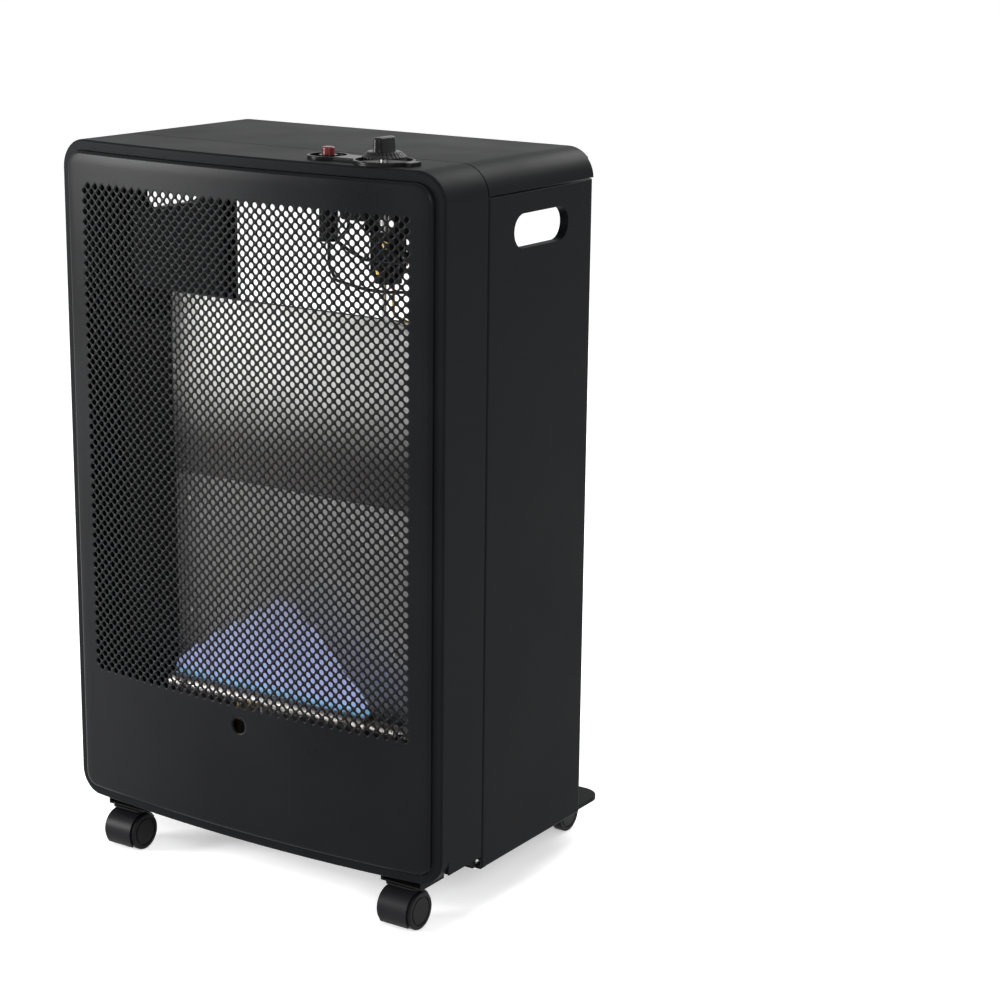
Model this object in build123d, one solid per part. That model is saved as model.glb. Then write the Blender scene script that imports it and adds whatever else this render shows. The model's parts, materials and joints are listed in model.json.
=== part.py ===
from build123d import *
from math import sqrt
import os

os.makedirs("parts", exist_ok=True)

# Axes: X to the right, Y to the back, Z up, millimetres, floor at Z = 0.
# Y = 0 is the front plane at the cabinet's side edges. Everything is moved by Y_MID on export.

# ---------------------------------------------------------------- cabinet
WIDTH = 432.0
HALF = WIDTH / 2
TOP = 697.0
FLOOR_GAP = 52.0
BODY_DEPTH = 65.0
BOW = 15.0
TOP_RADIUS = 28.0
FOOT_RADIUS = 24.0
SHEET = 1.2
EDGE_ROUND = 2.5
RING_DEPTH = 12.0
SIDE_LIFT = 9.0
FLANGE = 9.5
PANEL_RISE = 4.5
PANEL_ROUND = 4.0
PANEL_SKIRT = 4.2
WINDOW_FIT = 0.2
TAB_INSET = 70.0
TAB_HEIGHT = 24.0
SEAM = 1.5
RUNNING_FIT = 0.05
GAP = 0.2

WALL = HALF - SHEET
SIDE_BOTTOM = FLOOR_GAP + SIDE_LIFT
FLOOR_TOP = SIDE_BOTTOM + SHEET
UNDER_TOP = TOP - SHEET
BOW_RADIUS = (HALF ** 2 + BOW ** 2) / (2 * BOW)
REAR_PLANE = BODY_DEPTH

# ---------------------------------------------------------------- grille
GRILLE_MARGIN = 26.85
GRILLE_LIFT = 123.45
CELL_BAR = 8.1
CELL_COLUMNS = 13
CELL_ROWS = 17
SIGHT_HOLE = 15.0
SIGHT_LIFT = 117.0

GRILLE_BOTTOM = FLOOR_GAP + GRILLE_LIFT
GRILLE_TOP = TOP - GRILLE_MARGIN
GRILLE_HALF = HALF - GRILLE_MARGIN
COLUMN_PITCH = 2 * GRILLE_HALF / CELL_COLUMNS
ROW_PITCH = (GRILLE_TOP - GRILLE_BOTTOM) / CELL_ROWS
SIGHT_Z = FLOOR_GAP + SIGHT_LIFT

# ---------------------------------------------------------------- rear frame and base
VENT_SIDE = 28.0
VENT_DROP = 25.0
VENT_HEIGHT = 120.0
VENT_CORNER = 10.0
REAR_RETURN = 10.0
BASE_FLANGE = 12.0
INTAKE_RADIUS = 5.0
INTAKE_PITCH = 18.0
INTAKE_COUNT = 15
INTAKE_RISE = 31.0

VENT_HALF = HALF - VENT_SIDE
VENT_TOP = TOP - VENT_DROP
VENT_BOTTOM = VENT_TOP - VENT_HEIGHT
INTAKE_Z = SIDE_BOTTOM + INTAKE_RISE

# ---------------------------------------------------------------- heat guides
GUIDE_INSET = 76.0
GUIDE_HEM = 10.0
GUIDE_GAP = 1.0
DEFLECTOR_BOTTOM = 378.0
DEFLECTOR_BELLY = 2.0
REFLECTOR_BEND = 215.0
REFLECTOR_FOOT = 125.0
REFLECTOR_REACH = 19.0
BAFFLE_REACH_X = 34.0
BAFFLE_REACH_Y = 32.6
BAFFLE_TAB = 12.0
BAFFLE_BOTTOM = 200.0
BAFFLE_DROP = 24.0

GUIDE_HALF = HALF - GUIDE_INSET
GUIDE_BACK = REAR_PLANE - SHEET
GUIDE_FRONT = GUIDE_BACK - SHEET
BAFFLE_TOP = VENT_BOTTOM - BAFFLE_DROP

# ---------------------------------------------------------------- burner
BURNER_CLEAR = 15.6
BURNER_Y = GUIDE_FRONT - REFLECTOR_REACH - BURNER_CLEAR
BURNER_Z = 177.0
BURNER_INSET = 23.0
BURNER_RADIUS = 12.0
BURNER_WALL = 1.2
BURNER_CAP = 2.0
PORT_PITCH = 9.0
PORT_COUNT = 25
PORT_WIDTH = 1.6
PORT_LENGTH = 12.0
LEG_INSET = 21.0
LEG_SHEET = 1.6
LEG_DEPTH = 30.0
LEG_FOOT = 14.0
LEG_EAR = 4.0
MIXER_RADIUS = 8.0
MIXER_WALL = 1.2
MIXER_LENGTH = 47.0
MIXER_OVERLAP = 2.0
AIR_PORT = 9.0
JET_NECK = 4.0
JET_BODY = 7.0
JET_LENGTH = 10.0
JET_TIP = 6.0
JET_BORE = 0.6

BURNER_HALF = GUIDE_HALF - BURNER_INSET
LEG_X = BURNER_HALF - LEG_INSET

# ---------------------------------------------------------------- pilot
PILOT_X = -10.0
PILOT_Y = 9.0
PILOT_RADIUS = 4.0
PILOT_WALL = 1.0
PILOT_TOP = 181.0
PILOT_FOOT = 10.0
PILOT_NUT = 4.0
CLIP_WIDTH = 8.0
CLIP_SHEET = 1.2
SHELF_FRONT = 4.0
SHELF_HALF = 20.0
PROBE_STEP = 14.0
ELECTRODE_RADIUS = 3.0
ELECTRODE_FOOT = 12.0
ELECTRODE_HEAD = 9.0
SPARK_RADIUS = 0.8
SPARK_REACH = 7.0
PROBE_RADIUS = 2.5
SENSOR_DROP = 16.0

# ---------------------------------------------------------------- valve and control
KNOB_INSET = 77.0
CONTROL_PITCH = 60.0
CONTROL_Y = 19.0
VALVE_WIDTH = 24.0
VALVE_DEPTH = 26.0
VALVE_LEAD = 7.0
VALVE_HANG = 60.0
VALVE_HEIGHT = 44.0
VALVE_NECK = 8.0
VALVE_NUT = 7.0
TEST_NUT = 5.0
TEST_NUT_RISE = 12.0
BRACKET_REACH = 4.0
BRACKET_FOOT = 10.0
SPINDLE_RADIUS = 4.0
SPINDLE_TRAVEL = 4.0
SPINDLE_SEAT = 12.0
KNOB_SKIRT = 19.5
KNOB_SKIRT_HEIGHT = 4.0
KNOB_WAIST = 15.0
KNOB_LIFT = 5.5
KNOB_HEIGHT = 17.5
KNOB_BLADE = 10.0
KNOB_LENGTH = 27.0
KNOB_ROOF = 4.0
BEZEL_THICK = 3.5
BEZEL_FLOOR = 1.2
BEZEL_RIM = 2.0
KNOB_WELL = 25.0
BUTTON_WELL = 16.5
BEZEL_BRIDGE = 12.0
BEZEL_TAB = 33.0
BEZEL_TAB_HALF = 8.0
BUTTON_RADIUS = 5.5
BUTTON_LIFT = 10.5
BUTTON_TRAVEL = 5.0
BUTTON_LENGTH = 22.0
IGNITER_RADIUS = 8.5
IGNITER_LENGTH = 72.0
IGNITER_NUT = 4.0
NOZZLE_RADIUS = 4.5
NOZZLE_BORE = 2.5
NOZZLE_LENGTH = 28.0
NOZZLE_NUT = 7.0
NOZZLE_RISE = 17.0
BARB_PITCH = 5.0
SUPPLY_RISE = 25.0
SUPPLY_RADIUS = 3.0
RISER_INSET = 23.0
RISER_Y = 44.0
SWITCH_GAP = 3.5
SWITCH_Y = 25.0
SWITCH_DROP = 30.0
SWITCH_HEIGHT = 22.0
SWITCH_WIDTH = 29.0
SWITCH_DEPTH = 12.0
SWITCH_ROUND = 4.0
SWITCH_TONGUE = 14.0
SWITCH_OVERLAP = 8.0

KNOB_X = HALF - KNOB_INSET
BUTTON_X = KNOB_X - CONTROL_PITCH
VALVE_RIGHT = KNOB_X + VALVE_WIDTH / 2
VALVE_LEFT = KNOB_X - VALVE_WIDTH / 2
VALVE_FRONT = CONTROL_Y - VALVE_LEAD
VALVE_BACK = VALVE_FRONT + VALVE_DEPTH
VALVE_TOP = TOP - VALVE_HANG
VALVE_BOTTOM = VALVE_TOP - VALVE_HEIGHT
NOZZLE_Z = VALVE_BOTTOM + NOZZLE_RISE
SUPPLY_Z = VALVE_BOTTOM + SUPPLY_RISE
RISER_X = HALF - RISER_INSET
SWITCH_X = BUTTON_X + IGNITER_RADIUS + SWITCH_GAP + SWITCH_WIDTH / 2
SWITCH_TOP = TOP - SWITCH_DROP
SWITCH_BOTTOM = SWITCH_TOP - SWITCH_HEIGHT
BUTTON_TOP = TOP + BUTTON_LIFT
IGNITER_BOTTOM = TOP - IGNITER_LENGTH

# ---------------------------------------------------------------- pipes and leads
PILOT_PIPE = 2.0
LEAD_RADIUS = 1.4
LEAD_BEND = 8.0
LEAD_RISE = 40.0
PIPE_STEP = 10.0
PROBE_LEAD_STEP = 16.0
SPARK_STEP = 6.0
PROBE_LEAD_BACK = 6.0
SPARK_FORWARD = 8.0
PILOT_RUN = 108.0
PROBE_RUN = 98.0
SPARK_RUN = 118.0
CROSS_RISE = 12.0
LEAD_STEP = 16.0
LEAD_INSET = 5.0
LEAD_FORWARD = 4.0
LEAD_BACK = 5.0
SPARK_LOOP = 5.0
SPARK_SAG = 22.0
SWITCH_SAG = 31.0
SWITCH_ENTRY = 14.0
LEAD_DROP = 8.0
RED_SAG = 10.0
RED_ENTRY = 24.0

PIPE_X = RISER_X - PIPE_STEP
PROBE_X = RISER_X - PROBE_LEAD_STEP
SPARK_X = RISER_X - SPARK_STEP
CROSS_Z = BAFFLE_TOP + CROSS_RISE

# ---------------------------------------------------------------- folding side panels
PANEL_REAR = 239.0
PANEL_BOTTOM = 48.0
PANEL_DROP = 28.0
PANEL_TURN = 12.0
PANEL_GAP = 1.0
HINGE_INSET = 11.0
HINGE_BACK = 5.0
PIN_RADIUS = 2.5
PIN_HEAD = 4.0
PIN_HEAD_THICK = 1.5
EAR_RADIUS = 4.8
NOTCH = 8.0
HINGE_PLATE = 2.0
LOWER_PLATE_GAP = 0.4
UPPER_PLATE_GAP = 0.3
LOWER_LEAF = 28.0
UPPER_LEAF = 16.0
LEAF_REACH = 12.0
GUSSET_LENGTH = 19.0
SLOT_LENGTH = 90.0
SLOT_HEIGHT = 31.0
SLOT_SETBACK = 87.0
SLOT_DROP = 35.0
SLOT_COLLAR = 9.0

PANEL_TOP = TOP - PANEL_DROP
PANEL_FRONT = BODY_DEPTH + PANEL_GAP
PANEL_TIP = HALF - PANEL_TURN
PANEL_HINGE_X = HALF - HINGE_INSET
PANEL_HINGE_Y = BODY_DEPTH + HINGE_BACK
SLOT_Y = PANEL_REAR - SLOT_SETBACK
SLOT_Z = PANEL_TOP - SLOT_DROP
LEAF_IN = PANEL_HINGE_X - LEAF_REACH
LEAF_OUT = PANEL_TIP - PANEL_GAP
LEAF_BACK = REAR_PLANE + SHEET
LOWER_PLATE = PANEL_BOTTOM + SHEET + LOWER_PLATE_GAP
UPPER_PLATE = PANEL_TOP + UPPER_PLATE_GAP

# ---------------------------------------------------------------- lid
LID_OVERHANG = 4.0
LID_DROP = 27.0
LID_HEM = 10.0
LID_HINGE_BACK = 6.0
LID_HINGE_DROP = 3.6
BARREL_RADIUS = 2.2
BARREL_PIN = 1.2
LID_HINGE_INSET = 86.0
LID_KNUCKLE = 12.0
LID_LEAF = 14.0
LID_LEAF_DROP = 24.0

LID_REAR = PANEL_REAR + LID_OVERHANG
LID_BOTTOM = TOP - LID_DROP
LID_HINGE_Y = BODY_DEPTH + LID_HINGE_BACK
LID_HINGE_X = HALF - LID_HINGE_INSET
HINGE_Z = TOP - LID_HINGE_DROP

# ---------------------------------------------------------------- screws
SCREW_RADIUS = 2.0
SCREW_HEAD = 3.6
SCREW_HEAD_THICK = 1.8
SCREW_SHANK = 6.0
GUIDE_SCREW_INSET = 20.0
GUIDE_SCREW_MARGIN = 25.0
LOWER_SCREW_RISE = 20.0
UPPER_SCREW_RISE = 9.0

# ---------------------------------------------------------------- cylinder tray
TRAY_TOP = 42.0
TRAY_INSET = 16.5
TRAY_FRONT = 88.0
TRAY_REAR = 312.0
TRAY_CORNER = 20.0
TRAY_LIP = 4.0
WELL_INSET = 86.5
WELL_SETBACK = 18.0
WELL_MARGIN = 20.0
WELL_DEPTH = 20.0
WELL_CORNER = 30.0
WELL_ROUND = 4.0
TRAY_HINGE_STEP = 5.0
TRAY_HINGE_DROP = 7.0
ROD_RADIUS = 3.0
ROD_END = 5.0
ARM_INSET = 15.0
ARM_THICK = 4.0
ARM_RADIUS = 6.0
ARM_FRONT = 42.0
ARM_BACK = 3.0
ARM_FOOT = 14.0
ARM_GAP = 0.4
LUG_THICK = 2.0
LUG_WALL = 2.0
ARM_NOTCH = 13.0

TRAY_HALF = HALF - TRAY_INSET
TRAY_UNDER = TRAY_TOP - SHEET
WELL_HALF = TRAY_HALF - WELL_INSET
WELL_FRONT = TRAY_FRONT + WELL_SETBACK
WELL_REAR = TRAY_REAR - WELL_MARGIN
TRAY_HINGE_Y = TRAY_FRONT + TRAY_HINGE_STEP
TRAY_HINGE_Z = TRAY_TOP - TRAY_HINGE_DROP
ARM_X = WELL_HALF - ARM_INSET

# ---------------------------------------------------------------- casters
WHEEL_RADIUS = 18.0
WHEEL_WIDTH = 11.0
WHEEL_INSIDE = 8.0
WHEEL_WALL = 4.0
WHEEL_GROOVE = 1.5
HOOD_RADIUS = 20.0
HOOD_GAP = 0.6
HOOD_HALF = 15.5
HOOD_START = -40.0
HOOD_END = 150.0
CASTER_TRAIL = 11.0
STEM_RADIUS = 4.0
STEM_HUB = 7.0
STEM_PLATE = 36.0
STEM_PLATE_THICK = 1.6
STEM_BOLT = 12.5
BOLT_RADIUS = 3.0
BOLT_HEAD = 1.1
AXLE_RADIUS = 2.5
WEB_HALF = 3.5
WEB_RADIUS = 12.0
FRONT_CASTER_INSET = 50.0
FRONT_CASTER_Y = 24.0
REAR_CASTER_INSET = 46.5
REAR_CASTER_MARGIN = 30.0
MOUNT_LENGTH = 46.0
MOUNT_DEPTH = 40.0
MOUNT_SETBACK = 4.0
MOUNT_WALL = 1.6

CASTER_HEIGHT = TRAY_UNDER
HALF_TRACK = WHEEL_INSIDE + WHEEL_WIDTH
FRONT_CASTER_X = HALF - FRONT_CASTER_INSET
REAR_CASTER_X = TRAY_HALF - REAR_CASTER_INSET
REAR_CASTER_Y = TRAY_REAR - REAR_CASTER_MARGIN

Y_MID = (TRAY_REAR - BOW - PANEL_RISE) / 2
FAR = 400.0


def save(name, shape):
    export_step(Pos(0, -Y_MID, 0) * shape, f"parts/{name}.step")


def block(x0, x1, y0, y1, z0, z1):
    """A plain block between two corners."""
    centre = Pos((x0 + x1) / 2, (y0 + y1) / 2, (z0 + z1) / 2)
    return centre * Box(x1 - x0, y1 - y0, z1 - z0)


def post(x, y, z0, z1, radius):
    """An upright round bar."""
    return Pos(x, y, (z0 + z1) / 2) * Cylinder(radius, z1 - z0)


def bar_x(x0, x1, y, z, radius):
    """A round bar along X."""
    return Pos((x0 + x1) / 2, y, z) * Rot(0, 90, 0) * Cylinder(radius, x1 - x0)


def bar_y(x, y0, y1, z, radius):
    """A round bar along Y."""
    return Pos(x, (y0 + y1) / 2, z) * Rot(90, 0, 0) * Cylinder(radius, y1 - y0)


def front_outline(inset, bottom, foot_radius):
    """The cabinet's front outline, drawn in by inset, with its two pairs of corner radii."""
    side = HALF - inset
    top = TOP - inset
    face = Pos(0, (top + bottom) / 2) * Rectangle(2 * side, top - bottom)
    upper = face.vertices().filter_by(lambda corner: corner.Y > bottom + 1)
    face = fillet(upper, TOP_RADIUS - inset)
    if foot_radius > 0:
        lower = face.vertices().filter_by(lambda corner: corner.Y < bottom + 1)
        face = fillet(lower, foot_radius)
    return face


def slab(outline, y0, y1):
    """An XZ outline made solid from y0 to y1."""
    return Pos(0, y1, 0) * extrude(Rot(90, 0, 0) * outline, y1 - y0)


def behind_bow(forward):
    """All the space behind the bowed front face, moved forward."""
    radius = BOW_RADIUS + forward
    middle = BOW_RADIUS - BOW
    edge = middle - sqrt(radius ** 2 - (HALF + 20) ** 2)
    arc = ThreePointArc((-HALF - 20, edge), (0, middle - radius), (HALF + 20, edge))
    back = Polyline((HALF + 20, edge), (HALF + 20, FAR), (-HALF - 20, FAR), (-HALF - 20, edge))
    return extrude(make_face([arc, back]), TOP + 20)


def along_x(face, x0, x1):
    """A section drawn in (Y, Z) made solid from x0 to x1."""
    plane = Plane(origin=(x0, 0, 0), x_dir=(0, 1, 0), z_dir=(1, 0, 0))
    return extrude(plane * face, x1 - x0)


def tube(points, radius, bend):
    """A round bar swept along a bent line."""
    path = FilletPolyline(*points, radius=bend)
    return sweep(Plane(origin=path @ 0, z_dir=path % 0) * Circle(radius), path=path)


def mirrored(shape):
    return mirror(shape, about=Plane.YZ)


# ================================================================ front shell
def shell_solid(inset, forward):
    ring = slab(front_outline(inset, FLOOR_GAP + inset, FOOT_RADIUS - inset), -FAR, RING_DEPTH)
    wrap = slab(front_outline(inset, SIDE_BOTTOM, 0), -FAR, BODY_DEPTH)
    wrap -= block(-HALF, HALF, -FAR, RING_DEPTH, 0, SIDE_BOTTOM + FOOT_RADIUS)
    return (ring + wrap) & behind_bow(forward)


outer = shell_solid(0, 0)
front_loop = outer.faces().sort_by(Axis.Y)[0].edges()
outer = fillet(front_loop, EDGE_ROUND)
hollow = shell_solid(SHEET, -SHEET)
hollow += block(-WALL, WALL, RING_DEPTH, BODY_DEPTH + 1, 0, SIDE_BOTTOM + FOOT_RADIUS)
hollow += slab(front_outline(SHEET, SIDE_BOTTOM + FOOT_RADIUS, 0), RING_DEPTH, BODY_DEPTH + 1)
window = slab(front_outline(FLANGE, FLOOR_GAP + FLANGE, FOOT_RADIUS - FLANGE), -FAR, 0)
front_shell = outer - hollow - window
front_shell -= post(KNOB_X, CONTROL_Y, TOP - FLANGE, TOP + 1, SPINDLE_RADIUS + GAP)
front_shell -= post(BUTTON_X, CONTROL_Y, TOP - FLANGE, TOP + 1, BUTTON_RADIUS + GAP)
save("front_shell", front_shell)

# ================================================================ front panel
FRAME_INSET = FLANGE + WINDOW_FIT


def panel_solid(inset, forward):
    edge = FRAME_INSET + inset
    outline = front_outline(edge, FLOOR_GAP + edge, FOOT_RADIUS - edge)
    return slab(outline, -FAR, BODY_DEPTH) & behind_bow(forward)


cover = panel_solid(0, PANEL_RISE) - behind_bow(-PANEL_SKIRT)
cover = fillet(cover.faces().sort_by(Axis.Y)[0].edges(), PANEL_ROUND)
inner = panel_solid(SHEET, PANEL_RISE - SHEET)
inner = fillet(inner.faces().sort_by(Axis.Y)[0].edges(), PANEL_ROUND - SHEET)
front_panel = cover - inner
tab_sheet = behind_bow(-SHEET) - behind_bow(-2 * SHEET)
for level in (FLOOR_GAP + TAB_INSET, (GRILLE_BOTTOM + GRILLE_TOP) / 2, TOP - TAB_INSET):
    tab = block(HALF - FRAME_INSET - SHEET, WALL, -BOW, BODY_DEPTH, level - TAB_HEIGHT / 2,
                level + TAB_HEIGHT / 2) & tab_sheet
    front_panel += tab
    front_panel += mirrored(tab)
cells = []
for column in range(CELL_COLUMNS):
    for row in range(CELL_ROWS):
        x = (column + 0.5) * COLUMN_PITCH - GRILLE_HALF
        z = (row + 0.5) * ROW_PITCH + GRILLE_BOTTOM
        cells.append(Pos(x, -BOW / 2, z) * Box(COLUMN_PITCH - CELL_BAR, 2 * BOW, ROW_PITCH - CELL_BAR))
front_panel -= cells
front_panel -= bar_y(0, -FAR, 0, SIGHT_Z, SIGHT_HOLE / 2)
save("front_panel", front_panel)

# ================================================================ rear frame
rear = slab(front_outline(SHEET, SIDE_BOTTOM + SHEET, 0), REAR_PLANE - SHEET - REAR_RETURN, REAR_PLANE)
rear -= slab(front_outline(2 * SHEET, 0, 0), 0, REAR_PLANE - SHEET)
vent = Pos(0, (VENT_BOTTOM + VENT_TOP) / 2) * Rectangle(2 * VENT_HALF, VENT_TOP - VENT_BOTTOM)
rear -= slab(fillet(vent.vertices(), VENT_CORNER), 0, FAR)
for hole in range(INTAKE_COUNT):
    x = (hole - (INTAKE_COUNT - 1) / 2) * INTAKE_PITCH
    rear -= bar_y(x, 0, FAR, INTAKE_Z, INTAKE_RADIUS)
guide_screw_x = GUIDE_HALF - GUIDE_SCREW_INSET
guide_levels = (REFLECTOR_BEND + GUIDE_SCREW_MARGIN, DEFLECTOR_BOTTOM - GUIDE_SCREW_MARGIN,
                VENT_BOTTOM - GUIDE_GAP - GUIDE_HEM / 2)
leaf_screw_x = (LEAF_IN + LEAF_OUT) / 2
screw_places = []
for side in (-1, 1):
    for level in guide_levels:
        screw_places.append((side * guide_screw_x, level, REAR_PLANE))
    for level in (LOWER_PLATE + LOWER_SCREW_RISE, UPPER_PLATE + UPPER_SCREW_RISE):
        screw_places.append((side * leaf_screw_x, level, LEAF_BACK))
screws = []
screw_holes = []
for x, z, seat in screw_places:
    head = bar_y(x, seat, seat + SCREW_HEAD_THICK, z, SCREW_HEAD)
    head = fillet(head.faces().sort_by(Axis.Y)[-1].edges(), 1)
    screws.append(head + bar_y(x, REAR_PLANE - SCREW_SHANK, seat, z, SCREW_RADIUS))
    screw_holes.append(bar_y(x, REAR_PLANE - SCREW_SHANK - 1, LEAF_BACK + 1, z, SCREW_RADIUS))
save("frame_screws", Compound(screws))
rear -= screw_holes
save("rear_frame", rear)

# ================================================================ base plate
base = block(-WALL, WALL, RING_DEPTH + SHEET, REAR_PLANE, SIDE_BOTTOM, FLOOR_TOP)
base += block(-HALF + FOOT_RADIUS, HALF - FOOT_RADIUS, RING_DEPTH, RING_DEPTH + SHEET,
              FLOOR_GAP, FLOOR_TOP)
upturn = block(WALL - SHEET, WALL, RING_DEPTH + SHEET, REAR_PLANE - SHEET - REAR_RETURN,
               FLOOR_TOP, FLOOR_TOP + BASE_FLANGE)
base += upturn + mirrored(upturn)
save("base_plate", base)

# ================================================================ heat guides
def curved_sheet(upper, belly, lower):
    """A curved sheet section between two parallel three-point arcs."""
    front = ThreePointArc(upper, belly, lower)
    rear_arc = Pos(SHEET, 0) * front
    return make_face([front, Line(front @ 1, rear_arc @ 1), rear_arc, Line(rear_arc @ 0, front @ 0)])


hem_bottom = VENT_BOTTOM - GUIDE_GAP - GUIDE_HEM
middle_z = (hem_bottom + DEFLECTOR_BOTTOM) / 2
belly = curved_sheet((GUIDE_FRONT, hem_bottom), (GUIDE_FRONT - DEFLECTOR_BELLY, middle_z),
                     (GUIDE_FRONT, DEFLECTOR_BOTTOM))
deflector = along_x(belly, -GUIDE_HALF, GUIDE_HALF)
deflector += block(-GUIDE_HALF, GUIDE_HALF, GUIDE_FRONT, GUIDE_BACK, hem_bottom, hem_bottom + GUIDE_HEM)
deflector -= screw_holes
save("upper_deflector", deflector)

bend_z = (REFLECTOR_BEND + REFLECTOR_FOOT) / 2
sweep_face = curved_sheet((GUIDE_FRONT, REFLECTOR_BEND), (GUIDE_FRONT - REFLECTOR_REACH / 4, bend_z),
                          (GUIDE_FRONT - REFLECTOR_REACH, REFLECTOR_FOOT))
reflector = along_x(sweep_face, -GUIDE_HALF, GUIDE_HALF)
reflector += block(-GUIDE_HALF, GUIDE_HALF, GUIDE_FRONT, GUIDE_BACK, REFLECTOR_BEND,
                   DEFLECTOR_BOTTOM - GUIDE_GAP)
reflector -= screw_holes
save("lower_reflector", reflector)

baffle_root = GUIDE_HALF + GUIDE_GAP
baffle_length = sqrt(BAFFLE_REACH_X ** 2 + BAFFLE_REACH_Y ** 2)
step_x = SHEET * BAFFLE_REACH_Y / baffle_length
step_y = SHEET * BAFFLE_REACH_X / baffle_length
root_shift = step_x + step_y * BAFFLE_REACH_X / BAFFLE_REACH_Y
baffle_face = make_face(Polyline(
    (baffle_root, GUIDE_BACK),
    (baffle_root, GUIDE_FRONT),
    (baffle_root + BAFFLE_REACH_X, GUIDE_FRONT - BAFFLE_REACH_Y),
    (baffle_root + BAFFLE_REACH_X + step_x, GUIDE_FRONT - BAFFLE_REACH_Y + step_y),
    (baffle_root + root_shift, GUIDE_FRONT),
    (baffle_root + BAFFLE_TAB, GUIDE_FRONT),
    (baffle_root + BAFFLE_TAB, GUIDE_BACK),
    (baffle_root, GUIDE_BACK)))
baffle = Pos(0, 0, BAFFLE_BOTTOM) * extrude(baffle_face, BAFFLE_TOP - BAFFLE_BOTTOM)
save("right_baffle", baffle)
save("left_baffle", mirrored(baffle))

# ================================================================ burner
burner = bar_x(-BURNER_HALF, BURNER_HALF, BURNER_Y, BURNER_Z, BURNER_RADIUS)
burner -= bar_x(-BURNER_HALF + BURNER_CAP, BURNER_HALF - BURNER_CAP, BURNER_Y, BURNER_Z,
                BURNER_RADIUS - BURNER_WALL)
burner -= bar_x(0, BURNER_HALF + 1, BURNER_Y, BURNER_Z, MIXER_RADIUS)
ports = []
for port in range(PORT_COUNT):
    x = (port - (PORT_COUNT - 1) / 2) * PORT_PITCH
    ports.append(Pos(x, BURNER_Y, BURNER_Z + BURNER_RADIUS) * Box(PORT_WIDTH, PORT_LENGTH, BURNER_RADIUS))
burner -= ports
save("burner_tube", burner)

leg = block(LEG_X, LEG_X + LEG_SHEET, BURNER_Y - LEG_DEPTH / 2, BURNER_Y + LEG_DEPTH / 2,
            FLOOR_TOP, BURNER_Z + BURNER_RADIUS + LEG_EAR)
leg += block(LEG_X - LEG_FOOT, LEG_X, BURNER_Y - LEG_DEPTH / 2, BURNER_Y + LEG_DEPTH / 2,
             FLOOR_TOP, FLOOR_TOP + LEG_SHEET)
leg -= bar_x(LEG_X - 1, LEG_X + LEG_SHEET + 1, BURNER_Y, BURNER_Z, BURNER_RADIUS)
save("right_burner_bracket", leg)
save("left_burner_bracket", mirrored(leg))

mixer_start = BURNER_HALF - MIXER_OVERLAP
mixer_end = mixer_start + MIXER_LENGTH
mixer = bar_x(mixer_start, mixer_end, BURNER_Y, BURNER_Z, MIXER_RADIUS)
mixer -= bar_x(mixer_start - 1, mixer_end - 2, BURNER_Y, BURNER_Z, MIXER_RADIUS - MIXER_WALL)
mixer -= block(mixer_end - 2 - AIR_PORT, mixer_end - 2, 0, BODY_DEPTH,
               BURNER_Z - MIXER_RADIUS / 2, BURNER_Z + MIXER_RADIUS / 2)
mixer -= bar_x(mixer_end - 3, mixer_end + 1, BURNER_Y, BURNER_Z, JET_NECK)
save("mixing_tube", mixer)

jet_end = mixer_end + JET_LENGTH
jet_nut = Plane(origin=(mixer_end, BURNER_Y, BURNER_Z), x_dir=(0, 1, 0), z_dir=(1, 0, 0))
injector = extrude(jet_nut * RegularPolygon(JET_BODY, 6), JET_LENGTH)
injector += bar_x(mixer_end - JET_TIP, mixer_end, BURNER_Y, BURNER_Z, JET_NECK)
injector -= bar_x(mixer_end, jet_end + 1, BURNER_Y, BURNER_Z, SUPPLY_RADIUS)
injector -= bar_x(mixer_end - JET_TIP - 1, mixer_end + 1, BURNER_Y, BURNER_Z, JET_BORE)
save("injector", injector)

supply = tube([(mixer_end, BURNER_Y, BURNER_Z),
               (RISER_X, BURNER_Y, BURNER_Z),
               (RISER_X, RISER_Y, BURNER_Z + 50),
               (RISER_X, RISER_Y, SUPPLY_Z - 40),
               (RISER_X, CONTROL_Y, SUPPLY_Z),
               (VALVE_RIGHT - 6, CONTROL_Y, SUPPLY_Z)], SUPPLY_RADIUS, 9)
save("supply_pipe", supply)

# ================================================================ pilot
shelf_z = BURNER_Z - BURNER_RADIUS
clip = bar_x(PILOT_X - CLIP_WIDTH / 2, PILOT_X + CLIP_WIDTH / 2, BURNER_Y, BURNER_Z,
             BURNER_RADIUS + CLIP_SHEET)
clip -= bar_x(PILOT_X - CLIP_WIDTH, PILOT_X + CLIP_WIDTH, BURNER_Y, BURNER_Z, BURNER_RADIUS)
clip -= block(PILOT_X - CLIP_WIDTH, PILOT_X + CLIP_WIDTH, BURNER_Y - PORT_LENGTH / 2,
              BURNER_Y + PORT_LENGTH / 2, BURNER_Z, BURNER_Z + 2 * BURNER_RADIUS)
clip += block(PILOT_X - SHELF_HALF, PILOT_X + SHELF_HALF, SHELF_FRONT, BURNER_Y,
              shelf_z - CLIP_SHEET, shelf_z)
for offset_x, radius in ((0, PILOT_RADIUS), (PROBE_STEP, ELECTRODE_RADIUS), (-PROBE_STEP, PROBE_RADIUS)):
    clip -= post(PILOT_X + offset_x, PILOT_Y, shelf_z - 5, shelf_z + 5, radius)
save("pilot_bracket", clip)

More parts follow.
